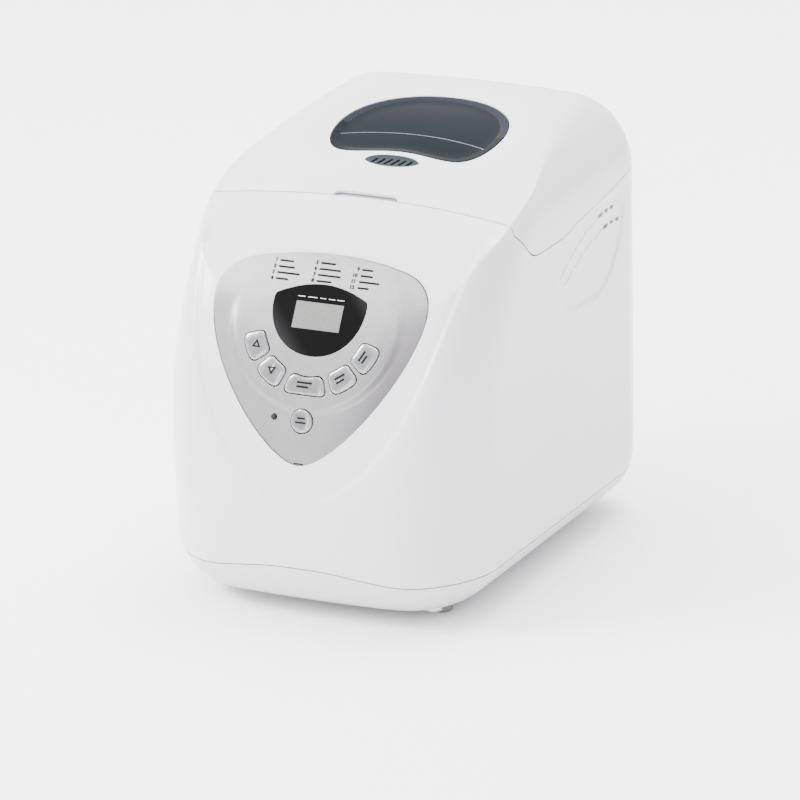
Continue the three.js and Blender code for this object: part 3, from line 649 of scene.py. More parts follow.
def read(collection, attribute, kind=int, width=1):
    """A mesh attribute as an array, one row per element."""
    values = np.zeros(len(collection) * width, kind)
    collection.foreach_get(attribute, values)
    return values if width == 1 else values.reshape(-1, width)


def smooth_shell(obj):
    """Smooth normals on the moulded face, worked out from the surface itself."""
    mesh = obj.data
    verts = read(mesh.vertices, "co", float, 3) / MM
    normals = surface_normals(verts, moulded_distance)
    outer = np.abs(moulded_distance(*verts.T)) < 0.12
    loop_vert = read(mesh.loops, "vertex_index")
    starts = read(mesh.polygons, "loop_start")
    totals = read(mesh.polygons, "loop_total")
    flat = read(mesh.polygons, "normal", float, 3)
    loop_face = np.repeat(np.arange(len(totals)), totals)
    smooth_face = np.minimum.reduceat(outer[loop_vert].astype(int), starts) > 0
    facing = np.einsum("ij,ij->i", normals[loop_vert], flat[loop_face])
    use = smooth_face[loop_face] & (facing > 0.7)
    loop_normals = np.where(use[:, None], normals[loop_vert], flat[loop_face])
    mesh.polygons.foreach_set("use_smooth", np.ones(len(mesh.polygons), bool))
    mesh.normals_split_custom_set(loop_normals.tolist())
    return obj


# ---- Seams ----


def lid_region(drop):
    """Everything that belongs to the lid, as in the CAD: arched front, dipping skirt."""
    profile = np.vstack([
        [(-72, 345), (-50.5, 279), (-49, 272), (-49, 266)],
        bezier([(-46, 252), (-40, 244.4), (-24, 244.2)], 10),
        [(-24, 244.2), (8, 244)],
        bezier([(8, 244), (24, 244.4), (37, 248.5)], 8),
        bezier([(37, 248.5), (80, 252), (119, 259.3)], 10),
        [(119, 259.3), (150, HINGE_Z + GAP), (190, HINGE_Z + GAP), (190, 345)],
    ])
    rings = []
    for x in np.linspace(-140, 140, 57):
        y, z = profile[:, 0], profile[:, 1]
        front = 1 - smoothstep(y, -30, 20)
        arch = 8 * (x / 107) ** 2 * smoothstep(z, 250, 266) * front
        rings.append(np.column_stack([np.full(len(y), x), y - arch - drop, z - drop]))
    return loft("lid_region", rings, smooth=False)


def base_region(raised):
    """Everything below the base seam, which arches up in the middle of the front."""
    xs = np.linspace(-140, 140, 71)
    ys = np.concatenate([[-200], np.linspace(-150, -60, 19), [200]])
    gx, gy = np.meshgrid(xs, ys, indexing="ij")
    front = 1 - smoothstep(gy, -130, -80)
    arch = BASE_ARCH * (1 - smoothstep(np.abs(gx), 10, 90)) * front
    return slab("base_region", gx, gy, BASE_SEAM + arch + raised, np.full(gx.shape, -60.0))


def slab(name, gx, gy, upper, lower, matrix=None):
    """A closed sheet between two height fields over a grid."""
    n, m = gx.shape
    top = np.stack([gx, gy, upper], axis=-1).reshape(-1, 3)
    bottom = np.stack([gx, gy, lower], axis=-1).reshape(-1, 3)
    index = np.arange(n * m).reshape(n, m)
    a = index[:-1, :-1].ravel()
    b = index[1:, :-1].ravel()
    c = index[1:, 1:].ravel()
    d = index[:-1, 1:].ravel()
    faces = np.column_stack([a, b, c, d]).tolist()
    faces += (np.column_stack([a, d, c, b]) + n * m).tolist()
    rim = np.concatenate([index[:, 0], index[-1, 1:], index[-2::-1, -1], index[0, -2:0:-1]])
    after = np.roll(rim, -1)
    faces += np.column_stack([rim, rim + n * m, after + n * m, after]).tolist()
    obj = make(name, np.vstack([top, bottom]), faces)
    if matrix is not None:
        turned(obj, matrix)
    return obj


# ---- Control panel ----

PANEL_Y = FRONT + FACET_RADIUS - math.sqrt(FACET_RADIUS ** 2 - (PANEL_HEIGHT - FACET_START) ** 2)
SIN, COS = math.sin(PANEL_TILT), math.cos(PANEL_TILT)
PANEL_MATRIX = Matrix((
    (1, 0, 0, 0),
    (0, SIN, -COS, PANEL_Y * MM),
    (0, COS, SIN, PANEL_HEIGHT * MM),
    (0, 0, 0, 1),
))


def facet_height(s):
    """Height of the casing's leaning front above the panel plane, at s up the plane."""
    arc_y = FRONT + FACET_RADIUS
    centre_s = (arc_y - PANEL_Y) * SIN + (FACET_START - PANEL_HEIGHT) * COS
    centre_n = -(arc_y - PANEL_Y) * COS + (FACET_START - PANEL_HEIGHT) * SIN
    return centre_n + np.sqrt(FACET_RADIUS ** 2 - (s - centre_s) ** 2)


def panel_height(x, s):
    """Height of the silver panel's face: a raised disc with a soft step below it."""
    radius = np.hypot(x, s - BUTTON_ARC_CENTRE)
    step = PANEL_STEP * (1 - smoothstep(radius, PANEL_STEP_RADIUS - 3, PANEL_STEP_RADIUS + 3))
    fade = 1 - smoothstep(s, 10, 48)
    return facet_height(s) + PANEL_PROUD + step * fade - PANEL_STEP * fade


def panel_sheet(name, half_x, low, high, raise_top, thickness, cell=1.5):
    xs = np.linspace(-half_x, half_x, int(2 * half_x / cell))
    ss = np.linspace(low, high, int((high - low) / cell))
    gx, gs = np.meshgrid(xs, ss, indexing="ij")
    upper = panel_height(gx, gs) + raise_top
    return slab(name, gx, gs, upper, upper - thickness, PANEL_MATRIX)


def panel_prism(outline, low=-25, high=25):
    return turned(prism("panel_cutter", outline, low, high), PANEL_MATRIX)


# ---- Materials ----


class Graph:
    """A small helper that adds nodes to one material."""

    def __init__(self, name):
        self.material = bpy.data.materials.new(name)
        self.material.use_nodes = True
        self.nodes = self.material.node_tree.nodes
        self.links = self.material.node_tree.links
        self.shader = self.nodes["Principled BSDF"]
        self.coords = self.nodes.new("ShaderNodeTexCoord").outputs["Object"]

    def set(self, **values):
        for key, value in values.items():
            self.shader.inputs[key.replace("_", " ")].default_value = value

    def add(self, kind, **inputs):
        """A new node, its inputs set or linked by name."""
        node = self.nodes.new("ShaderNode" + kind)
        for key, value in inputs.items():
            self.plug(value, node.inputs[key.replace("_", " ")])
        return node

    def plug(self, value, socket):
        if hasattr(value, "is_linked"):
            self.links.new(value, socket)
        elif isinstance(value, tuple) and len(value) < len(socket.default_value):
            socket.default_value = value + (1.0,)
        else:
            socket.default_value = value

    def noise(self, scale, detail=4.0, stretch=(1, 1, 1)):
        mapping = self.add("Mapping", Vector=self.coords, Scale=stretch)
        place_in = mapping.outputs["Vector"]
        return self.add("TexNoise", Vector=place_in, Scale=scale, Detail=detail).outputs["Fac"]

    def ramp(self, value, start, end, low=0.0, high=1.0):
        return self.add(
            "MapRange", Value=value, From_Min=start, From_Max=end, To_Min=low, To_Max=high)

    def span(self, value, low, high):
        """A noise's usual reach, spread between two values."""
        return self.ramp(value, 0.3, 0.7, low, high).outputs["Result"]

    def along(self, direction, low, high):
        """0 to 1 between two distances along a direction."""
        dot = self.add("VectorMath")
        dot.operation = "DOT_PRODUCT"
        dot.inputs[1].default_value = direction
        self.links.new(self.coords, dot.inputs[0])
        node = self.ramp(dot.outputs["Value"], low, high)
        node.interpolation_type = "SMOOTHSTEP"
        return node.outputs["Result"]

    def mix(self, factor, a, b):
        node = self.nodes.new("ShaderNodeMix")
        node.data_type = "RGBA"
        self.plug(factor, node.inputs["Factor"])
        self.plug(a, node.inputs[6])
        self.plug(b, node.inputs[7])
        return node.outputs[2]

    def mottle(self, scale, a, b, detail=4.0, stretch=(1, 1, 1)):
        """A colour that drifts between two."""
        return self.mix(self.span(self.noise(scale, detail, stretch), 0, 1), a, b)

    def edges(self, low, high):
        """1 on outer edges, 0 elsewhere: worn edges on most materials, a painted highlight on the
        button rims.
        """
        pointiness = self.add("NewGeometry").outputs["Pointiness"]
        return self.ramp(pointiness, low, high).outputs["Result"]

    def base(self, value):
        self.plug(value, self.shader.inputs["Base Color"])

    def rough(self, source, low, high):
        self.plug(self.span(source, low, high), self.shader.inputs["Roughness"])

    def bump(self, height, strength, distance, bevel=0.0):
        node = self.add("Bump", Strength=strength, Distance=distance, Height=height)
        if bevel:
            rounding = self.add("Bevel", Radius=bevel)
            rounding.samples = 6
            self.plug(rounding.outputs["Normal"], node.inputs["Normal"])
        self.plug(node.outputs["Normal"], self.shader.inputs["Normal"])


def plastic(name, color, rough, tint=0.02, grain=2200, bevel=0.0007, gloss=0.0, ior=1.48):
    """Moulded plastic: faint mottling, fine spark texture and slightly worn edges."""
    g = Graph(name)
    darker = tuple(c * (1 - tint) for c in color)
    mottled = g.mottle(9, color, darker)
    paler = tuple(min(1.0, c * (1 + tint)) for c in color)
    g.base(g.mix(g.edges(0.52, 0.6), mottled, paler))
    g.rough(g.noise(45), rough - 0.03, rough + 0.04)
    g.bump(g.noise(grain, 2), 0.06, 0.0002, bevel)
    g.set(IOR=ior, Coat_Weight=gloss, Coat_Roughness=0.14)
    return g.material


def silver_paint(name):
    """Fine metallic paint: tiny flakes, a soft cloudiness and a clear lacquer, darkened by painted
    shade towards the lower right.
    """
    g = Graph(name)
    flakes = g.mottle(2600, (0.19, 0.19, 0.19), (0.235, 0.235, 0.235), 1)
    cloud = g.mix(g.span(g.noise(14), 0, 0.35), flakes, (0.21, 0.19, 0.21))
    # Painted shade: the paint darkens towards the right and, lower down, towards the bottom, in
    # place of the dimmer reflection there.
    painted_shade = g.mix(g.along((0.95, 0, -0.3), -0.03, 0.02), cloud, (0.082, 0.071, 0.085))
    painted_shade = g.mix(g.along((0.2, 0, -1.0), -0.26, -0.15), cloud, painted_shade)
    g.base(g.mix(g.edges(0.53, 0.6), painted_shade, (0.4, 0.4, 0.4)))
    g.rough(g.noise(60), 0.24, 0.32)
    g.bump(g.noise(3000, 1), 0.05, 0.0001, 0.0005)
    g.set(Metallic=0.85, Coat_Weight=0.2, Coat_Roughness=0.15)
    return g.material


def metal(name, color, rough, stretch=(1, 1, 1), grain=900, metallic=1.0):
    """Bare or plated metal with a drawn grain and slightly polished edges."""
    g = Graph(name)
    streaks = g.noise(grain, 3, stretch)
    darker = tuple(c * 0.86 for c in color)
    worn = g.mix(g.span(streaks, 0, 1), color, darker)
    g.base(g.mix(g.edges(0.52, 0.62), worn, tuple(min(1.0, c * 1.15) for c in color)))
    g.rough(streaks, rough - 0.06, rough + 0.08)
    g.bump(streaks, 0.08, 0.0001, 0.0004)
    g.set(Metallic=metallic)
    return g.material


def nonstick(name):
    """Charcoal non-stick coating: fine pale speckle under a satin film."""
    g = Graph(name)
    speck = g.span(g.noise(1500, 1), -2.2, 1.0)
    speckled = g.mix(speck, (0.035, 0.037, 0.042), (0.16, 0.165, 0.175))
    g.base(g.mix(g.edges(0.54, 0.64), speckled, (0.2, 0.2, 0.21)))
    g.rough(g.noise(120), 0.36, 0.5)
    g.bump(g.noise(800, 3), 0.15, 0.0002, 0.0005)
    g.set(Metallic=0.2)
    return g.material


def rubber(name, color, rough=0.75):
    """Moulded rubber with a matt, slightly dusty skin."""
    g = Graph(name)
    dusty = tuple(min(1.0, c * 1.5 + 0.02) for c in color)
    g.base(g.mix(g.span(g.noise(70), -0.2, 0.55), color, dusty))
    g.rough(g.noise(160), rough - 0.08, rough + 0.1)
    g.bump(g.noise(1400, 2), 0.25, 0.0002, 0.0005)
    return g.material


def gloss_black(name):
    """Polished black lens: nearly even, with faint polishing haze and two pale bands of painted
    glare, painted reflections at fixed places on the upper right and lower left.
    """
    g = Graph(name)
    black = g.mottle(18, (0.0012, 0.0012, 0.0014), (0.0024, 0.0022, 0.0022))
    # Painted reflections: pale bands of glare at fixed places, upper right and lower left, that do
    # not follow the lights.
    painted_glare = g.mix(g.along((0.7, 0, 0.7), 0.172, 0.195), black, (0.03, 0.03, 0.032))
    g.base(g.mix(g.along((-0.7, 0, -0.7), -0.134, -0.112), painted_glare, (0.025, 0.024, 0.026)))
    g.rough(g.noise(90), 0.05, 0.11)
    g.bump(g.noise(30, 2), 0.01, 0.0005, 0.0004)
    g.set(IOR=1.13)
    return g.material


def window_glass(name, tint, alpha):
    """Dark tinted glass that shows a little of the oven below."""
    g = Graph(name)
    g.base(g.mottle(11, tint, tuple(c * 0.85 for c in tint)))
    g.rough(g.noise(60), 0.07, 0.13)
    g.bump(g.noise(24, 2), 0.01, 0.0005)
    g.set(Alpha=alpha, IOR=1.075)
    return g.material


def button_plastic(name):
    """Clear glossy cap over a silver ground, with a pale painted highlight on its rim in place of
    the light in the thick plastic.
    """
    g = Graph(name)
    # Painted highlight: the cap's rounded edges are painted pale, in place of the light caught in
    # the thick clear plastic.
    rim = g.edges(0.5, 0.56)
    ground = g.mottle(260, (0.135, 0.137, 0.143), (0.08, 0.082, 0.09), 2)
    g.base(g.mix(rim, ground, (0.5, 0.505, 0.51)))
    g.rough(g.noise(90), 0.14, 0.22)
    g.bump(g.noise(120, 2), 0.03, 0.0003)
    g.set(Metallic=0.6, Coat_Weight=0.5, Coat_Roughness=0.05)
    return g.material


def lcd_material(name):
    """Unlit liquid-crystal glass, grey-green, with a faint fine speckle."""
    g = Graph(name)
    g.base(g.mottle(700, (0.105, 0.107, 0.099), (0.088, 0.09, 0.083), 1))
    g.rough(g.noise(60), 0.16, 0.24)
    g.bump(g.noise(1200, 1), 0.02, 0.0001)
    g.set(Coat_Weight=0.6, Coat_Roughness=0.05)
    return g.material


def circuit_board(name):
    """Green solder mask with faint traces."""
    g = Graph(name)
    g.base(g.mottle(140, (0.012, 0.1, 0.035), (0.03, 0.17, 0.06), 1, (1, 6, 6)))
    g.rough(g.noise(90), 0.35, 0.5)
    g.bump(g.noise(260, 1), 0.15, 0.0002)
    return g.material


WHITE = plastic("white_moulding", (0.6, 0.588, 0.618), 0.32, gloss=0.5)
BASE_WHITE = plastic("base_moulding", (0.57, 0.56, 0.58), 0.38, gloss=0.3)
INNER_WHITE = plastic("inner_moulding", (0.57, 0.57, 0.575), 0.42)
SILVER = silver_paint("silver_panel_paint")
BUTTON = button_plastic("clear_button")
# A dark plastic for the lip seen through the finger notch: painted shade, standing for the shadow
# in the notch.
NOTCH_SHADE = plastic("notch_painted_shade", (0.24, 0.22, 0.25), 0.45)
BLACK_LENS = gloss_black("black_lens")
LCD = lcd_material("lcd_glass")
GLASS = window_glass("tinted_glass", (0.005, 0.0075, 0.0095), 0.99)
# A lighter tint for the rear bevel of the window glass: a painted highlight where the bevel
# catches the light.
GLASS_EDGE_HIGHLIGHT = window_glass("glass_edge_painted_highlight", (0.015, 0.017, 0.023), 0.999)
# A pale plastic for the line across the window: a painted reflection.
GLASS_REFLECTION_LINE = plastic("glass_painted_reflection", (0.11, 0.12, 0.125), 0.3, 0.1)
GRILLE = plastic("grille_plastic", (0.014, 0.02, 0.025), 0.5, 0.12, ior=1.2)
STEEL = metal("plated_steel", (0.55, 0.55, 0.56), 0.32)
OVEN_STEEL = metal("aluminised_sheet", (0.56, 0.565, 0.57), 0.36, (1, 1, 6), 300)
DARK_COAT = nonstick("nonstick_coating")
ELEMENT = metal("element_sheath", (0.16, 0.15, 0.145), 0.5, (1, 1, 1), 400, 0.7)
BRONZE = metal("sintered_bronze", (0.5, 0.32, 0.13), 0.42)
FOOT_RUBBER = rubber("foot_rubber", (0.17, 0.15, 0.17))
BLACK_RUBBER = rubber("black_rubber", (0.014, 0.014, 0.015))
BOARD = circuit_board("solder_mask")
INK = plastic("printed_ink", (0.006, 0.006, 0.007), 0.5, 0.2, ior=1.12)
WHITE_INK = plastic("white_print", (0.75, 0.75, 0.75), 0.5, 0.1)


def dress(obj, material):
    obj.data.materials.clear()
    obj.data.materials.append(material)
    return obj


def place(obj, material, body, node=None):
    """Gives a piece its material, body, replaced node and material slot."""
    dress(obj, material)
    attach(obj, body)
    if node:
        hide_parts(node)
    return obj


# ---- Casing pieces ----


def vent_slots(sign):
    """Two rows of grooves along each side's hollow, the last three in each row cut through."""
    slots = []
    for row in VENT_ROWS:
        points = np.vstack([bezier(row, 120), [row[-1]]])
        travel = np.concatenate([[0], np.cumsum(np.linalg.norm(np.diff(points, axis=0), axis=1))])
        start = 0.0
        lengths = [15, 15, 15, 15, 9, 6.5, 6.5]
        for i, length in enumerate(lengths):
            index = np.searchsorted(travel, start + length / 2)
            start += length + SLOT_GAP
            index = min(index, len(points) - 2)
            middle = points[index]
            along = points[index + 1] - points[index - 1]
            through = i >= len(lengths) - DARK_SLOTS
            half = length / 2
            outline = rounded_outline(rectangle(-half, half, -1.5, 1.5), 1.4, 5)
            depth = SLOT_DEPTH if through else SIDE_HOLLOW + GROOVE_DEPTH
            low, high = (-depth, 6) if sign > 0 else (-6, depth)
            cutter = prism("slot", outline, low, high)
            turn = Matrix.Rotation(math.atan2(along[1], along[0]), 4, "X")
            shift = shift_by(sign * WIDTH / 2, middle[0], middle[1])
            slots.append(turned(cutter, shift @ turn @ UPRIGHT))
    return slots


def rear_slots():
    slots = []
    for i in range(9):
        x = -64 + 16 * i
        outline = rounded_outline(rectangle(x - 1.5, x + 1.5, 150, 200), 1.4, 5)
        cutter = prism("slot", outline, -180, -160)
        slots.append(turned(cutter, quarter_turn("X")))
    return slots


def rod_along_y(x, z, radius, y0, y1):
    outline = ellipse_outline(x, z, radius, radius, 40)
    return turned(prism("rod", outline, -y1, -y0), quarter_turn("X"))


def rod_along_x(x0, x1, y, z, radius):
    outline = ellipse_outline(-z, y, radius, radius, 40)
    return turned(prism("rod", outline, x0, x1), quarter_turn("Y"))


def casing(shell):
    inlet_low, inlet_high = node_box("cord_inlet")
    inlet = (inlet_low + inlet_high) / 2
    body = copy_of(shell, "body_shell_skin")
    hinge_slot = block("slot", -101, 101, 158, 180, HINGE_Z - 5.4, HINGE_Z + 6)
    tools = [
        lid_region(SEAM),
        base_region(SEAM),
        panel_prism(shield_outline(0.5)),
        hinge_slot,
        rod_along_y(inlet.x, inlet.z, INLET_RADIUS, 160, 180),
        *vent_slots(1),
        *vent_slots(-1),
        *rear_slots(),
    ]
    carve(body, tools)
    place(smooth_shell(body), WHITE, "casing", "body_shell")

    tray = copy_of(shell, "base_tray_skin")
    carve(tray, [base_region(0)], "INTERSECT")
    posts = node_box("chassis_plate")[0].z - GAP
    profile = [(0, 9.2), (6, 9.2), (5, 12), (4.8, posts), (0, posts)]
    pillars = [lathe("post", profile, x, y, 24) for x in (-84, 84) for y in (-128, 128)]
    place(smooth_shell(tray), BASE_WHITE, "casing", "base_tray")
    place(joined("base_posts", pillars), BASE_WHITE, "casing", None)


def finger_notch():
    """The cut in the lid's front edge for a fingertip."""
    outline = rounded_outline([(-29, -60), (29, -60), (23, NOTCH_EDGE), (-23, NOTCH_EDGE)], 4, 10)
    return prism("notch", outline, 255, 300)


def notch_lip():
    """The lid's lower lip, seen through the notch, in dark plastic: painted shade for the shadow
    under the notch.
    """
    outline = rounded_outline([(-31, -49.2), (31, -49.2), (26, -43), (-26, -43)], 3, 8)
    lip = top_sheet("lid_notch_shade_lip", outline, np.array([0.0, -46.0]), [0, 0.4], [2.6, 2.55], 1.0)
    place(lip, NOTCH_SHADE, "lid", None)


def lid(shell):
    cover = copy_of(shell, "lid_cover_skin")
    carve(cover, [lid_region(0)], "INTERSECT")
    vent = ellipse_outline(0, VENT_Y, VENT_HALF_X + GAP, VENT_HALF_Y + GAP)
    tools = [
        prism("opening", window_outline(GAP), 240, 345),
        prism("opening", vent, 240, 345),
        finger_notch(),
    ]
    for name in ("lid_hinge_arm_left", "lid_hinge_arm_right"):
        low, high = node_box(name)
        x = (low.x + high.x) / 2
        tools.append(rod_along_x(x - 16, x + 16, HINGE_Y, HINGE_Z, HINGE_CLEARANCE))
    carve(cover, tools)
    place(smooth_shell(cover), WHITE, "lid", "lid_cover")
    notch_lip()


def top_height(x, y):
    """Height of the lid's outer face, found by halving."""
    low, high = np.full(x.shape, 230.0), np.full(x.shape, 330.0)
    return last_within(lambda z: casing_distance(x, y, z) < 0, low, high, 26)


def height_at(x, y):
    return float(top_height(np.array([x]), np.array([y]))[0])


def inset_rings(outline, centre, insets):
    """Rings shrunk towards a centre by about the given distances."""
    rings = []
    offset = outline - centre
    size = np.abs(offset).max(axis=0)
    for inset in insets:
        rings.append(centre + offset * (1 - inset / size))
    return rings


def top_sheet(name, outline, centre, insets, drops, thickness):
    """A closed plate that follows the lid's top face inside an outline."""
    rings = []
    for ring, drop in zip(inset_rings(outline, centre, insets), drops):
        rings.append(ring_at(ring, top_height(*ring.T) - drop))
    under = [r - [0, 0, thickness] for r in rings]
    obj = loft(name, under[::-1] + rings)
    sharpen(obj, 30)
    return obj


def window_rib():
    """A fine raised pale line across the glass: a painted reflection, the pale line the pane shows
    there.
    """
    rings = []
    for x in np.linspace(-58, 58, 41):
        y = 36 - 10 * (x / 61) ** 2
        z = height_at(x, y) - 3.75
        rise = z + 0.35
        rings.append([(x, y - 0.35, z), (x, y + 0.35, z), (x, y + 0.2, rise), (x, y - 0.2, rise)])
    return loft("lid_window_reflection_line", rings)


def lid_fittings():
    insets = [0.0, 0.6, 2.6, 6.5, 7.2, 16, 28, 38, 45]
    drops = [2.9, 2.4, 2.6, 3.6, 3.7, 3.7, 3.7, 3.7, 3.7]
    outline = window_outline(-0.1)
    glass = top_sheet("lid_window_glass", outline, LID_CENTRE, insets, drops, 2.2)
    place(glass, GLASS, "lid", "lid_window")
    glass.data.materials.append(GLASS_EDGE_HIGHLIGHT)
    first = len(insets) * len(outline)
    # Only the rear bevel faces get the lighter tint: a painted highlight.
    for polygon in glass.data.polygons:
        on_bevel = first <= polygon.index < first + 3 * len(outline)
        if on_bevel and polygon.center.y > 0.045:
            polygon.material_index = 1
    place(window_rib(), GLASS_REFLECTION_LINE, "lid", None)

    oval = ellipse_outline(0, VENT_Y, VENT_HALF_X, VENT_HALF_Y)
    plate = top_sheet(
        "lid_vent_plate", oval, np.array([0.0, VENT_Y]), [0, 0.4, 1.4, 3.0, 5.0, 7.0],
        [1.0, 0.5, 0.6, 1.3, 1.5, 1.5], 2.4)
    slots = []
    for i in range(6):
        half = (9 - abs(i - 2.5)) / 2
        slot = rounded_outline(rectangle(-1.0, 1.0, -half, half), 0.9, 5)
        turn = Matrix.Rotation(-0.5, 4, "Z")
        shift = shift_by(-13.5 + 5.4 * i, VENT_Y, 0)
        slots.append(turned(prism("slot", slot, 260, 320), shift @ turn))
    carve(plate, slots)
    sharpen(plate, 30)
    place(plate, GRILLE, "lid", "lid_vent_grille")


def liner():
    low, high = node_box("lid_liner")
    base = low.z
    xs = np.linspace(low.x, high.x, 61)
    ys = np.linspace(low.y, high.y, 51)
    gx, gy = np.meshgrid(xs, ys, indexing="ij")
    well = outline_distance(gx, gy, window_outline(10, 8))
    dish = 1.2 * (1 - smoothstep(well, 0, 6))
    sheet = slab("lid_liner_panel", gx, gy, base + 1.4 + dish, base + dish)
    rim = prism("rim", liner_outline(160, base, low.y, high.y), base - 5, base + 9)
    carve(sheet, [rim], "INTERSECT")
    carve(sheet, [
        prism("well", window_outline(1.5), 200, 345),
        prism("steam", ellipse_outline(0, VENT_Y, 5, 5, 32), 200, 345),
    ])
    sharpen(sheet, 30)
    place(sheet, INNER_WHITE, "lid", "lid_liner")
    outer = window_outline(3.6)
    inner = window_outline(1.5)
    rings = [
        ring_at(outer, base + 1.0),
        ring_at(outer, top_height(*outer.T) - 7),
        ring_at(inner, top_height(*inner.T) - 6.6),
        ring_at(inner, base + 1.0),
    ]
    well = loft("lid_window_well", rings, closed=True, caps=False)
    place(well, INNER_WHITE, "lid", None)


def liner_outline(count, z, low_y, high_y):
    """An edge just inside the lid at a height, between two ends."""
    rows = []
    for angle in bearings(count):
        direction = np.array([math.cos(angle), math.sin(angle)])

        def inside(t):
            x, y = LID_CENTRE + direction * t
            room = casing_distance(np.array([x]), np.array([y]), np.array([z]))[0]
            return room < -SKIN - 0.9 and low_y + 0.2 < y < high_y - 0.2

        rows.append(LID_CENTRE + direction * last_within(inside, 0.0, 250.0, 24))
    return np.array(rows)


# ---- Control panel pieces ----


def control_panel():
    panel = panel_sheet("control_panel_fascia", 84, -73, 84, 0.0, 2.4)
    carve(panel, [panel_prism(shield_outline(0))], "INTERSECT")
    holes = [panel_prism(button_outline(name, BUTTON_GAP)) for name in BUTTONS]
    holes.append(panel_prism(display_outline(0.15)))
    holes.append(panel_prism(ellipse_outline(STATUS_X, STATUS_DROP, 2.3, 2.3, 32)))
    tip_slot = block("slot", -4.2, 4.2, PANEL_TIP - 2, PANEL_TIP + 0.9, -9, -5)
    holes.append(turned(tip_slot, PANEL_MATRIX))
    carve(panel, holes)
    sharpen(panel, 25)
    place(panel, SILVER, "casing", "control_panel")

    lens = panel_sheet("display_lens", 38, 4, 60, 0.45, 2.0, 2.0)
    carve(lens, [panel_prism(display_outline(-0.1))], "INTERSECT")
    half_y, middle = (LCD_HIGH - LCD_LOW) / 2, (LCD_HIGH + LCD_LOW) / 2
    carve(lens, [panel_prism(rounded_rectangle(LCD_HALF_X, half_y, 0, middle, 0.6, 4))])
    sharpen(lens, 25)
    place(lens, BLACK_LENS, "casing", "display_window")

    screen = panel_sheet(
        "lcd_screen", LCD_HALF_X - 0.1, LCD_LOW + 0.1, LCD_HIGH - 0.1, 0.1, 1.2, 2.0)
    sharpen(screen, 25)
    place(screen, LCD, "casing", None)

    profile = [(0, -3), (1.9, -3), (1.9, 0.1), (1.5, 0.6), (0.8, 0.85), (0, 0.9)]
    dot = lathe("status_dot", profile, 0, 0, 28)
    lift = facet_height(STATUS_DROP) - PANEL_STEP * 0.3
    turned(dot, PANEL_MATRIX @ shift_by(STATUS_X, STATUS_DROP, lift))
    place(dot, BLACK_LENS, "casing", "status_lens")


def button_cap(name):
    """A domed cap that follows the panel, with straight sides down through its hole."""
    outline = button_outline(name)
    centre = outline.mean(axis=0)
    shape = [(1.0, -4.0), (1.0, 0.9), (0.985, 1.35), (0.955, 1.65), (0.91, 1.85), (0.84, 2.0)]
    inner = [(0.72, 2.15), (0.58, 2.27), (0.42, 2.36), (0.25, 2.41), (0.1, 2.43)]
    rings = []
    for scale, rise in shape + inner:
        ring = centre + (outline - centre) * scale
        rings.append(ring_at(ring, panel_height(*ring.T) + rise - CAP_SINK))
    cap = turned(loft(name + "_cap", rings), PANEL_MATRIX)
    sharpen(cap, 50)
    return cap, centre


def stroke(points, width, lift):
    """A thin raised line on the panel plane, for a printed mark."""
    points = np.array(points, float)
    pieces = []
    for a, b in zip(points[:-1], points[1:]):
        along = (b - a) / np.linalg.norm(b - a)
        across = np.array([-along[1], along[0]]) * width / 2
        a2, b2 = a - along * width / 2, b + along * width / 2
        ring = np.array([a2 - across, b2 - across, b2 + across, a2 + across])
        height = panel_height(*ring.T) + lift
        rings = [ring_at(ring, height - 0.3), ring_at(ring, height)]
        pieces.append(turned(loft("stroke", rings, smooth=False), PANEL_MATRIX))
    return pieces


def button_marks(name, centre):
    """Generic marks: arrows on the time buttons, plain bars on the others."""
    angle = math.radians(BUTTON_ANGLES.get(name, 0))
    turn = np.array([[math.cos(angle), -math.sin(angle)], [math.sin(angle), math.cos(angle)]])

    def at(points):
        return (np.array(points) @ turn.T + centre).tolist()

    if name in ("button_time_up", "button_time_down"):
        point = 2.4 if name == "button_time_up" else -2.4
        foot = -0.7 * point
        arrow = np.array([(-2.4, foot), (0, point), (2.4, foot), (-2.4, foot)])
        return stroke((arrow + centre).tolist(), 1.0, MARK_LIFT)
    if name == "button_start_stop":
        lower = stroke(at([(-3.4, -1.2), (3.4, -1.2)]), 1.2, MARK_LIFT)
        return lower + stroke(at([(-2.4, 1.8), (2.4, 1.8)]), 1.2, MARK_LIFT - 0.05)
    half = 5.0 if name == "button_loaf_size" else 3.4
    upper = stroke(at([(-half, 1.3), (half, 1.3)]), 1.4, MARK_LIFT)
    return upper + stroke(at([(-half, -1.7), (half / 2, -1.7)]), 1.4, MARK_LIFT)


def buttons():
    for name in BUTTONS:
        cap, centre = button_cap(name)
        place(cap, BUTTON, name, name)
        marks = joined(name + "_mark", button_marks(name, centre))
        place(marks, INK, name, None)


def text_piece(text, x, s, size, lift):
    curve = bpy.data.curves.new("digits", "FONT")
    curve.body = text
    curve.size = size * MM
    curve.extrude = 0.1 * MM
    curve.offset = 0.18 * MM
    curve.resolution_u = 3
    obj = new_object("digits", curve)
    graph = bpy.context.evaluated_depsgraph_get()
    mesh = bpy.data.meshes.new_from_object(obj.evaluated_get(graph))
    bpy.data.objects.remove(obj)
    height = float(panel_height(np.array(x), np.array(s))) + lift
    tilt = math.atan2(float(facet_height(s + 1.0) - facet_height(s - 1.0)), 2.0)
    piece = new_object("digits", mesh)
    local = shift_by(x, s, height) @ Matrix.Rotation(tilt, 4, "X")
    return turned(piece, PANEL_MATRIX @ local)


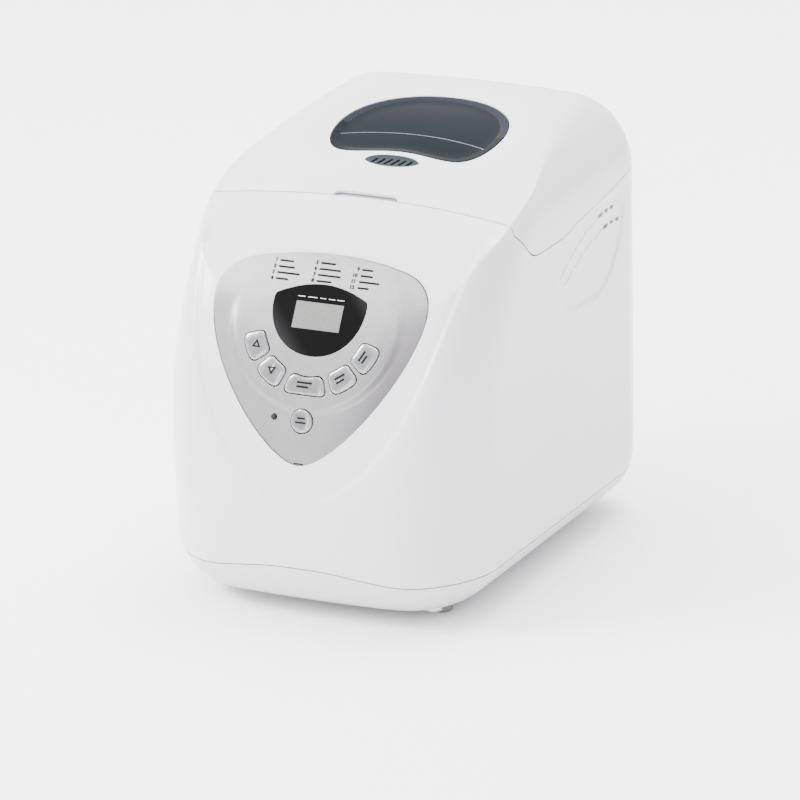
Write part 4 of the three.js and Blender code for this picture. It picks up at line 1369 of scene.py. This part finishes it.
def panel_print():
    """Programme numbers with plain bars beside them, and a row of display labels."""
    digits = []
    bars = []
    columns = [(-42, 71.5, 1), (-11, 73.0, 5), (21, 71.5, 9)]
    lengths = [9, 11, 16, 8, 10, 15, 16, 10, 7, 8, 14, 7]
    for x, s, first in columns:
        for row in range(4):
            number = first + row
            low = s - 4.4 * row - 1.2
            digits.append(text_piece(str(number), x - (2.4 if number > 9 else 0), low, 3.8, 0.12))
            start, level = x + 4.6, low + 1.1
            end = start + lengths[number - 1]
            bars += stroke([(start, level), (end, level)], 1.5, PRINT_LIFT)
    place(joined("programme_numbers", digits), INK, "casing", None)
    bars += stroke([(-3.2, PANEL_TIP + 1.0), (3.2, PANEL_TIP + 1.0)], 0.9, PRINT_LIFT)
    place(joined("programme_bars", bars), INK, "casing", None)
    labels = []
    for x, length in [(-17.5, 5), (-10, 7), (-0.5, 4), (6, 4.5), (12.5, 5)]:
        labels += stroke([(x, LCD_HIGH + 3.2), (x + length, LCD_HIGH + 3.2)], 0.4, 0.5)
    place(joined("display_labels", labels), WHITE_INK, "casing", None)


# ---- Feet and oven ----


def feet():
    for name in ("foot_front_left", "foot_front_right", "foot_rear_left", "foot_rear_right"):
        low, high = node_box(name)
        radius = (high.x - low.x) / 2
        profile = [(0, 0.9), (3.6, 0.9), (4.2, 0.0), (radius - 1.2, 0.0), (radius - 0.4, 0.3),
                   (radius, 1.1), (radius, 5.4), (radius - 0.5, 6.2), (radius - 1.4, 6.7),
                   (3, 6.7), (3, high.z - 0.6), (2.6, high.z), (0, high.z)]
        foot = lathe(name + "_pad", profile, (low.x + high.x) / 2, (low.y + high.y) / 2, 56)
        place(foot, FOOT_RUBBER, "casing", name)


def tub(name, half_x, half_y, radius, low, high, wall, lip, floor_bore, y=None):
    """A pressed rectangular tub with a rounded floor edge, rolled lip and a bored floor."""
    y = PAN_Y if y is None else y
    rings = []

    def ring(inset, z, extra=0.0):
        r = max(radius - inset + extra, 2.0)
        outline = rounded_rectangle(half_x - inset + extra, half_y - inset + extra, 0, y, r)
        return ring_at(outline, z)

    def bore(z):
        first = rings[0][0]
        t = bearings(len(rings[0])) + math.atan2(first[1] - y, first[0])
        circle = np.column_stack([floor_bore * np.cos(t), y + floor_bore * np.sin(t)])
        return ring_at(circle, z)

    def bend(gauge):
        """The rounded floor edge at a depth into the sheet."""
        rows = []
        for a in np.linspace(0, math.pi / 2, 7):
            inset = gauge + (TUB_EDGE - gauge) * (1 - math.sin(a))
            rows.append(ring(inset, low + gauge + (TUB_EDGE - gauge) * (1 - math.cos(a))))
        return rows

    rings.extend(bend(0))
    brim = [(0, 1.6, 0), (0, 1.5, lip - 0.4), (0, 0.9, lip), (0, 0.3, lip - 0.2),
            (0, 0, lip - 0.9), (0, 0, 0.2), (wall, 0.9, 0)]
    for inset, drop, extra in brim:
        rings.append(ring(inset, high - drop, extra))
    rings.extend(bend(wall)[::-1])
    rings.extend([bore(low + wall), bore(low)])
    return loft(name, rings, closed=True, caps=False)


def oven():
    low, high = node_box("oven_chamber")
    lip = 4.0
    half_x = (high.x - low.x) / 2 - lip
    half_y = (high.y - low.y) / 2 - lip
    chamber = tub("oven_chamber_liner", half_x, half_y, 25, low.z, high.z, 1.2, lip, 9)
    tools = [
        rod_along_y(-14, 84, 4, 110, 140),
        rod_along_y(14, 84, 4, 110, 140),
        rod_along_y(0, 120, 3.4, -60, -40),
    ]
    carve(chamber, tools)
    sharpen(chamber, 30)
    place(chamber, OVEN_STEEL, "casing", "oven_chamber")

    low, high = node_box("heating_element")
    x = high.x - 3.2
    points = [(-14, high.y, 0), (-14, 112.5, 0), (-x + 0.4, 112.5, 0), (-x + 0.4, low.y + 3.2, 0),
              (x - 0.4, low.y + 3.2, 0), (x - 0.4, 112.5, 0), (14, 112.5, 0), (14, high.y, 0)]
    path = bent_path(points, 9) + [0, 0, (low.z + high.z) / 2]
    element = sweep("heating_element_bar", path, ELEMENT_RADIUS)
    place(element, ELEMENT, "casing", "heating_element")

    low, high = node_box("bread_pan")
    half_x = (high.x - low.x) / 2 - 4
    half_y = (high.y - low.y) / 2 - 4
    pan = tub("bread_pan_body", half_x, half_y, 22, low.z, high.z - 11, 1.5, 4.0, 4.4)
    place(pan, DARK_COAT, "pan", "bread_pan")
    ears = []
    for sign in (-1, 1):
        outline = rounded_outline(rectangle(PAN_Y - 6, PAN_Y + 6, -1, 11), 5)
        ear = prism("ear", outline, 0, 2)
        shift = shift_by(sign * (half_x + 2) - 1, 0, high.z - 11)
        ear = turned(ear, shift @ UPRIGHT)
        carve(ear, [rod_along_x(-90, 90, PAN_Y, high.z - 5.5, 2.3)])
        ears.append(ear)
    place(joined("bread_pan_ears", ears), STEEL, "pan", None)

    low, high = node_box("pan_handle")
    reach = high.x - 2.2
    front = low.y + 1.9
    points = [(-64, PAN_Y, 0), (-reach, PAN_Y, 0), (-reach, front, 0), (reach, front, 0),
              (reach, PAN_Y, 0), (64, PAN_Y, 0)]
    path = bent_path(points, 6, 2.0, 12) + [0, 0, (low.z + high.z) / 2]
    place(sweep("pan_bail", path, BAIL_RADIUS), STEEL, "handle", "pan_handle")


def paddle():
    base = node_box("kneading_paddle")[0].z
    hub = lathe("hub", [(4.4, base), (8.0, base), (8.5, base + 0.8), (8.2, base + 12),
                        (7.2, base + 21), (5.6, base + 23.6), (3.0, base + 24), (0.01, base + 24),
                        (0.01, base + 20), (4.4, base + 20)], 0, PAN_Y, 48)
    profile = rounded_outline([(2, 0.5), (44, 0.5), (44.5, 9), (38, 25), (20, 27), (2, 21)], 7, 8)
    rings = []
    for side, inset in [(-2.0, 1.2), (-1.6, 0.5), (-0.9, 0.0), (0.9, 0.0), (1.6, 0.5), (2.0, 1.2)]:
        middle = profile.mean(axis=0)
        ring = middle + (profile - middle) * (1 - inset / 14)
        lean = side - 0.2 * (ring[:, 1] - 12)
        rise = base + 0.5 + ring[:, 1] * 0.96
        rings.append(np.column_stack([ring[:, 0], PAN_Y + lean * 0.9, rise]))
    body = joined("kneading_paddle_body", [hub, loft("fin", rings)])
    place(body, DARK_COAT, "paddle", "kneading_paddle")


def deck():
    low, high = node_box("top_deck")
    oven_low, oven_high = node_box("oven_chamber")
    outline = liner_outline(200, low.z, low.y, high.y)
    rings = [ring_at(outline, low.z), ring_at(outline, low.z + 2.0)]
    inner = LID_CENTRE + (outline - LID_CENTRE) * 0.995
    rings.append(ring_at(inner, low.z + 2.5))
    plate = loft("top_deck_plate", rings)
    half_y = (oven_high.y - oven_low.y) / 2 - 3.6
    mouth = rounded_rectangle(oven_high.x - 3.6, half_y, 0, PAN_Y, 26)
    carve(plate, [prism("mouth", mouth, 200, 260)])
    sharpen(plate, 30)
    place(plate, INNER_WHITE, "casing", "top_deck")
    xs = np.linspace(-116, 116, 60)
    wall = []
    for x in xs:
        top = height_at(x, -54.0) - SKIN - 0.9
        wall.append((x, max(top, low.z + 3)))
    outline = np.vstack([np.array(wall), [(116, low.z + 1), (-116, low.z + 1)]])
    upstand = turned(prism("top_deck_upstand", outline, 52.6, 54.9), quarter_turn("X"))
    place(upstand, INNER_WHITE, "casing", None)


# ---- CAD pieces that stay as they are ----

KEPT = {
    STEEL: ["hinge_bracket_left", "hinge_bracket_right", "hinge_pin_left", "hinge_pin_right",
            "lid_hinge_arm_left", "lid_hinge_arm_right", "chamber_post_1", "chamber_post_2",
            "chamber_post_3", "chamber_post_4", "temperature_sensor", "pan_seat", "pan_collar",
            "bearing_housing", "motor_bracket", "motor", "motor_shaft", "motor_pulley",
            "chassis_plate", "drive_shaft", "drive_dog", "shaft_clip", "paddle_shaft", "pan_dog"],
    BRONZE: ["shaft_bush_lower", "shaft_bush_upper"],
    BLACK_RUBBER: ["drive_belt", "shaft_seal", "cord_inlet"],
    BOARD: ["control_board", "power_board"],
    GRILLE: ["motor_fan"],
    DARK_COAT: ["drive_pulley"],
    LCD: ["lcd_module"],
}


def dress_kept_nodes():
    for material, names in KEPT.items():
        for name in names:
            dress(frame["nodes"][name], material)


# ---- Camera, light and floor ----

VIEW_AZIMUTH = math.radians(25.46)
VIEW_ELEVATION = math.radians(17.86)
VIEW_ROLL = -0.019
VIEW_DISTANCE = 4.613
LENS = 291.2
AIM_RIGHT = 0.000745
AIM_DOWN = 0.04006


def camera():
    a, e = VIEW_AZIMUTH, VIEW_ELEVATION
    back = Vector((math.sin(a) * math.cos(e), -math.cos(a) * math.cos(e), math.sin(e)))
    level = Vector((math.cos(a), math.sin(a), 0))
    rise = back.cross(level)
    right = level * math.cos(VIEW_ROLL) + rise * math.sin(VIEW_ROLL)
    up = rise * math.cos(VIEW_ROLL) - level * math.sin(VIEW_ROLL)
    centre = Vector((0, 0, CASING_CENTRE * MM))
    eye = centre + back * VIEW_DISTANCE
    aim = centre + right * AIM_RIGHT - up * AIM_DOWN
    away = (eye - aim).normalized()
    right = up.cross(away).normalized()
    up = away.cross(right)
    data = bpy.data.cameras.new("camera")
    data.lens = LENS
    data.sensor_width = 36
    data.clip_end = 50
    obj = new_object("camera", data)
    obj.matrix_world = Matrix((
        (right.x, up.x, away.x, eye.x),
        (right.y, up.y, away.y, eye.y),
        (right.z, up.z, away.z, eye.z),
        (0, 0, 0, 1),
    ))
    bpy.context.scene.camera = obj


def area_light(name, place_at, target, size, watts):
    data = bpy.data.lights.new(name, "AREA")
    data.shape = "RECTANGLE"
    data.size, data.size_y = size
    data.energy = watts
    obj = new_object(name, data)
    obj.location = place_at
    obj.rotation_euler = (Vector(target) - Vector(place_at)).to_track_quat("-Z", "Y").to_euler()


WORLD_DIM = 0.9
WORLD_BRIGHT = 4.6


def studio():
    world = bpy.data.worlds.new("studio")
    world.use_nodes = True
    nodes, links = world.node_tree.nodes, world.node_tree.links
    coords = nodes.new("ShaderNodeTexCoord")
    slope = nodes.new("ShaderNodeVectorMath")
    slope.operation = "DOT_PRODUCT"
    slope.inputs[1].default_value = (-0.75, -0.1, 0.65)
    span = nodes.new("ShaderNodeMapRange")
    reach = {"From Min": -0.75, "From Max": 0.75, "To Min": WORLD_DIM, "To Max": WORLD_BRIGHT}
    for key, value in reach.items():
        span.inputs[key].default_value = value
    links.new(coords.outputs["Generated"], slope.inputs[0])
    links.new(slope.outputs["Value"], span.inputs["Value"])
    links.new(span.outputs["Result"], nodes["Background"].inputs["Strength"])
    nodes["Background"].inputs["Color"].default_value = (0.985, 0.98, 1.0, 1)
    bpy.context.scene.world = world
    middle = (0, 0, 0.16)
    area_light("key", (-2.3, -1.5, 2.3), middle, (1.2, 1.2), 200)
    area_light("strip", (-0.5, -2.8, 0.5), middle, (0.3, 1.6), 16)
    area_light("overhead", (0.2, 0.9, 2.6), middle, (1.4, 1.4), 100)
    floor = make("floor", ring_at(rectangle(-9000, 9000, -9000, 9000), 0), [(0, 1, 2, 3)])
    g = Graph("floor_paper")
    g.base(g.mottle(3, (0.97, 0.97, 0.975), (0.95, 0.95, 0.955)))
    g.rough(g.noise(20), 0.75, 0.85)
    g.bump(g.noise(300), 0.02, 0.0005)
    dress(floor, g.material)


camera()
studio()
SHELL = casing_shell()
casing(SHELL)
lid(SHELL)
bpy.data.objects.remove(SHELL)
lid_fittings()
liner()
control_panel()
buttons()
panel_print()
feet()
oven()
paddle()
deck()
dress_kept_nodes()
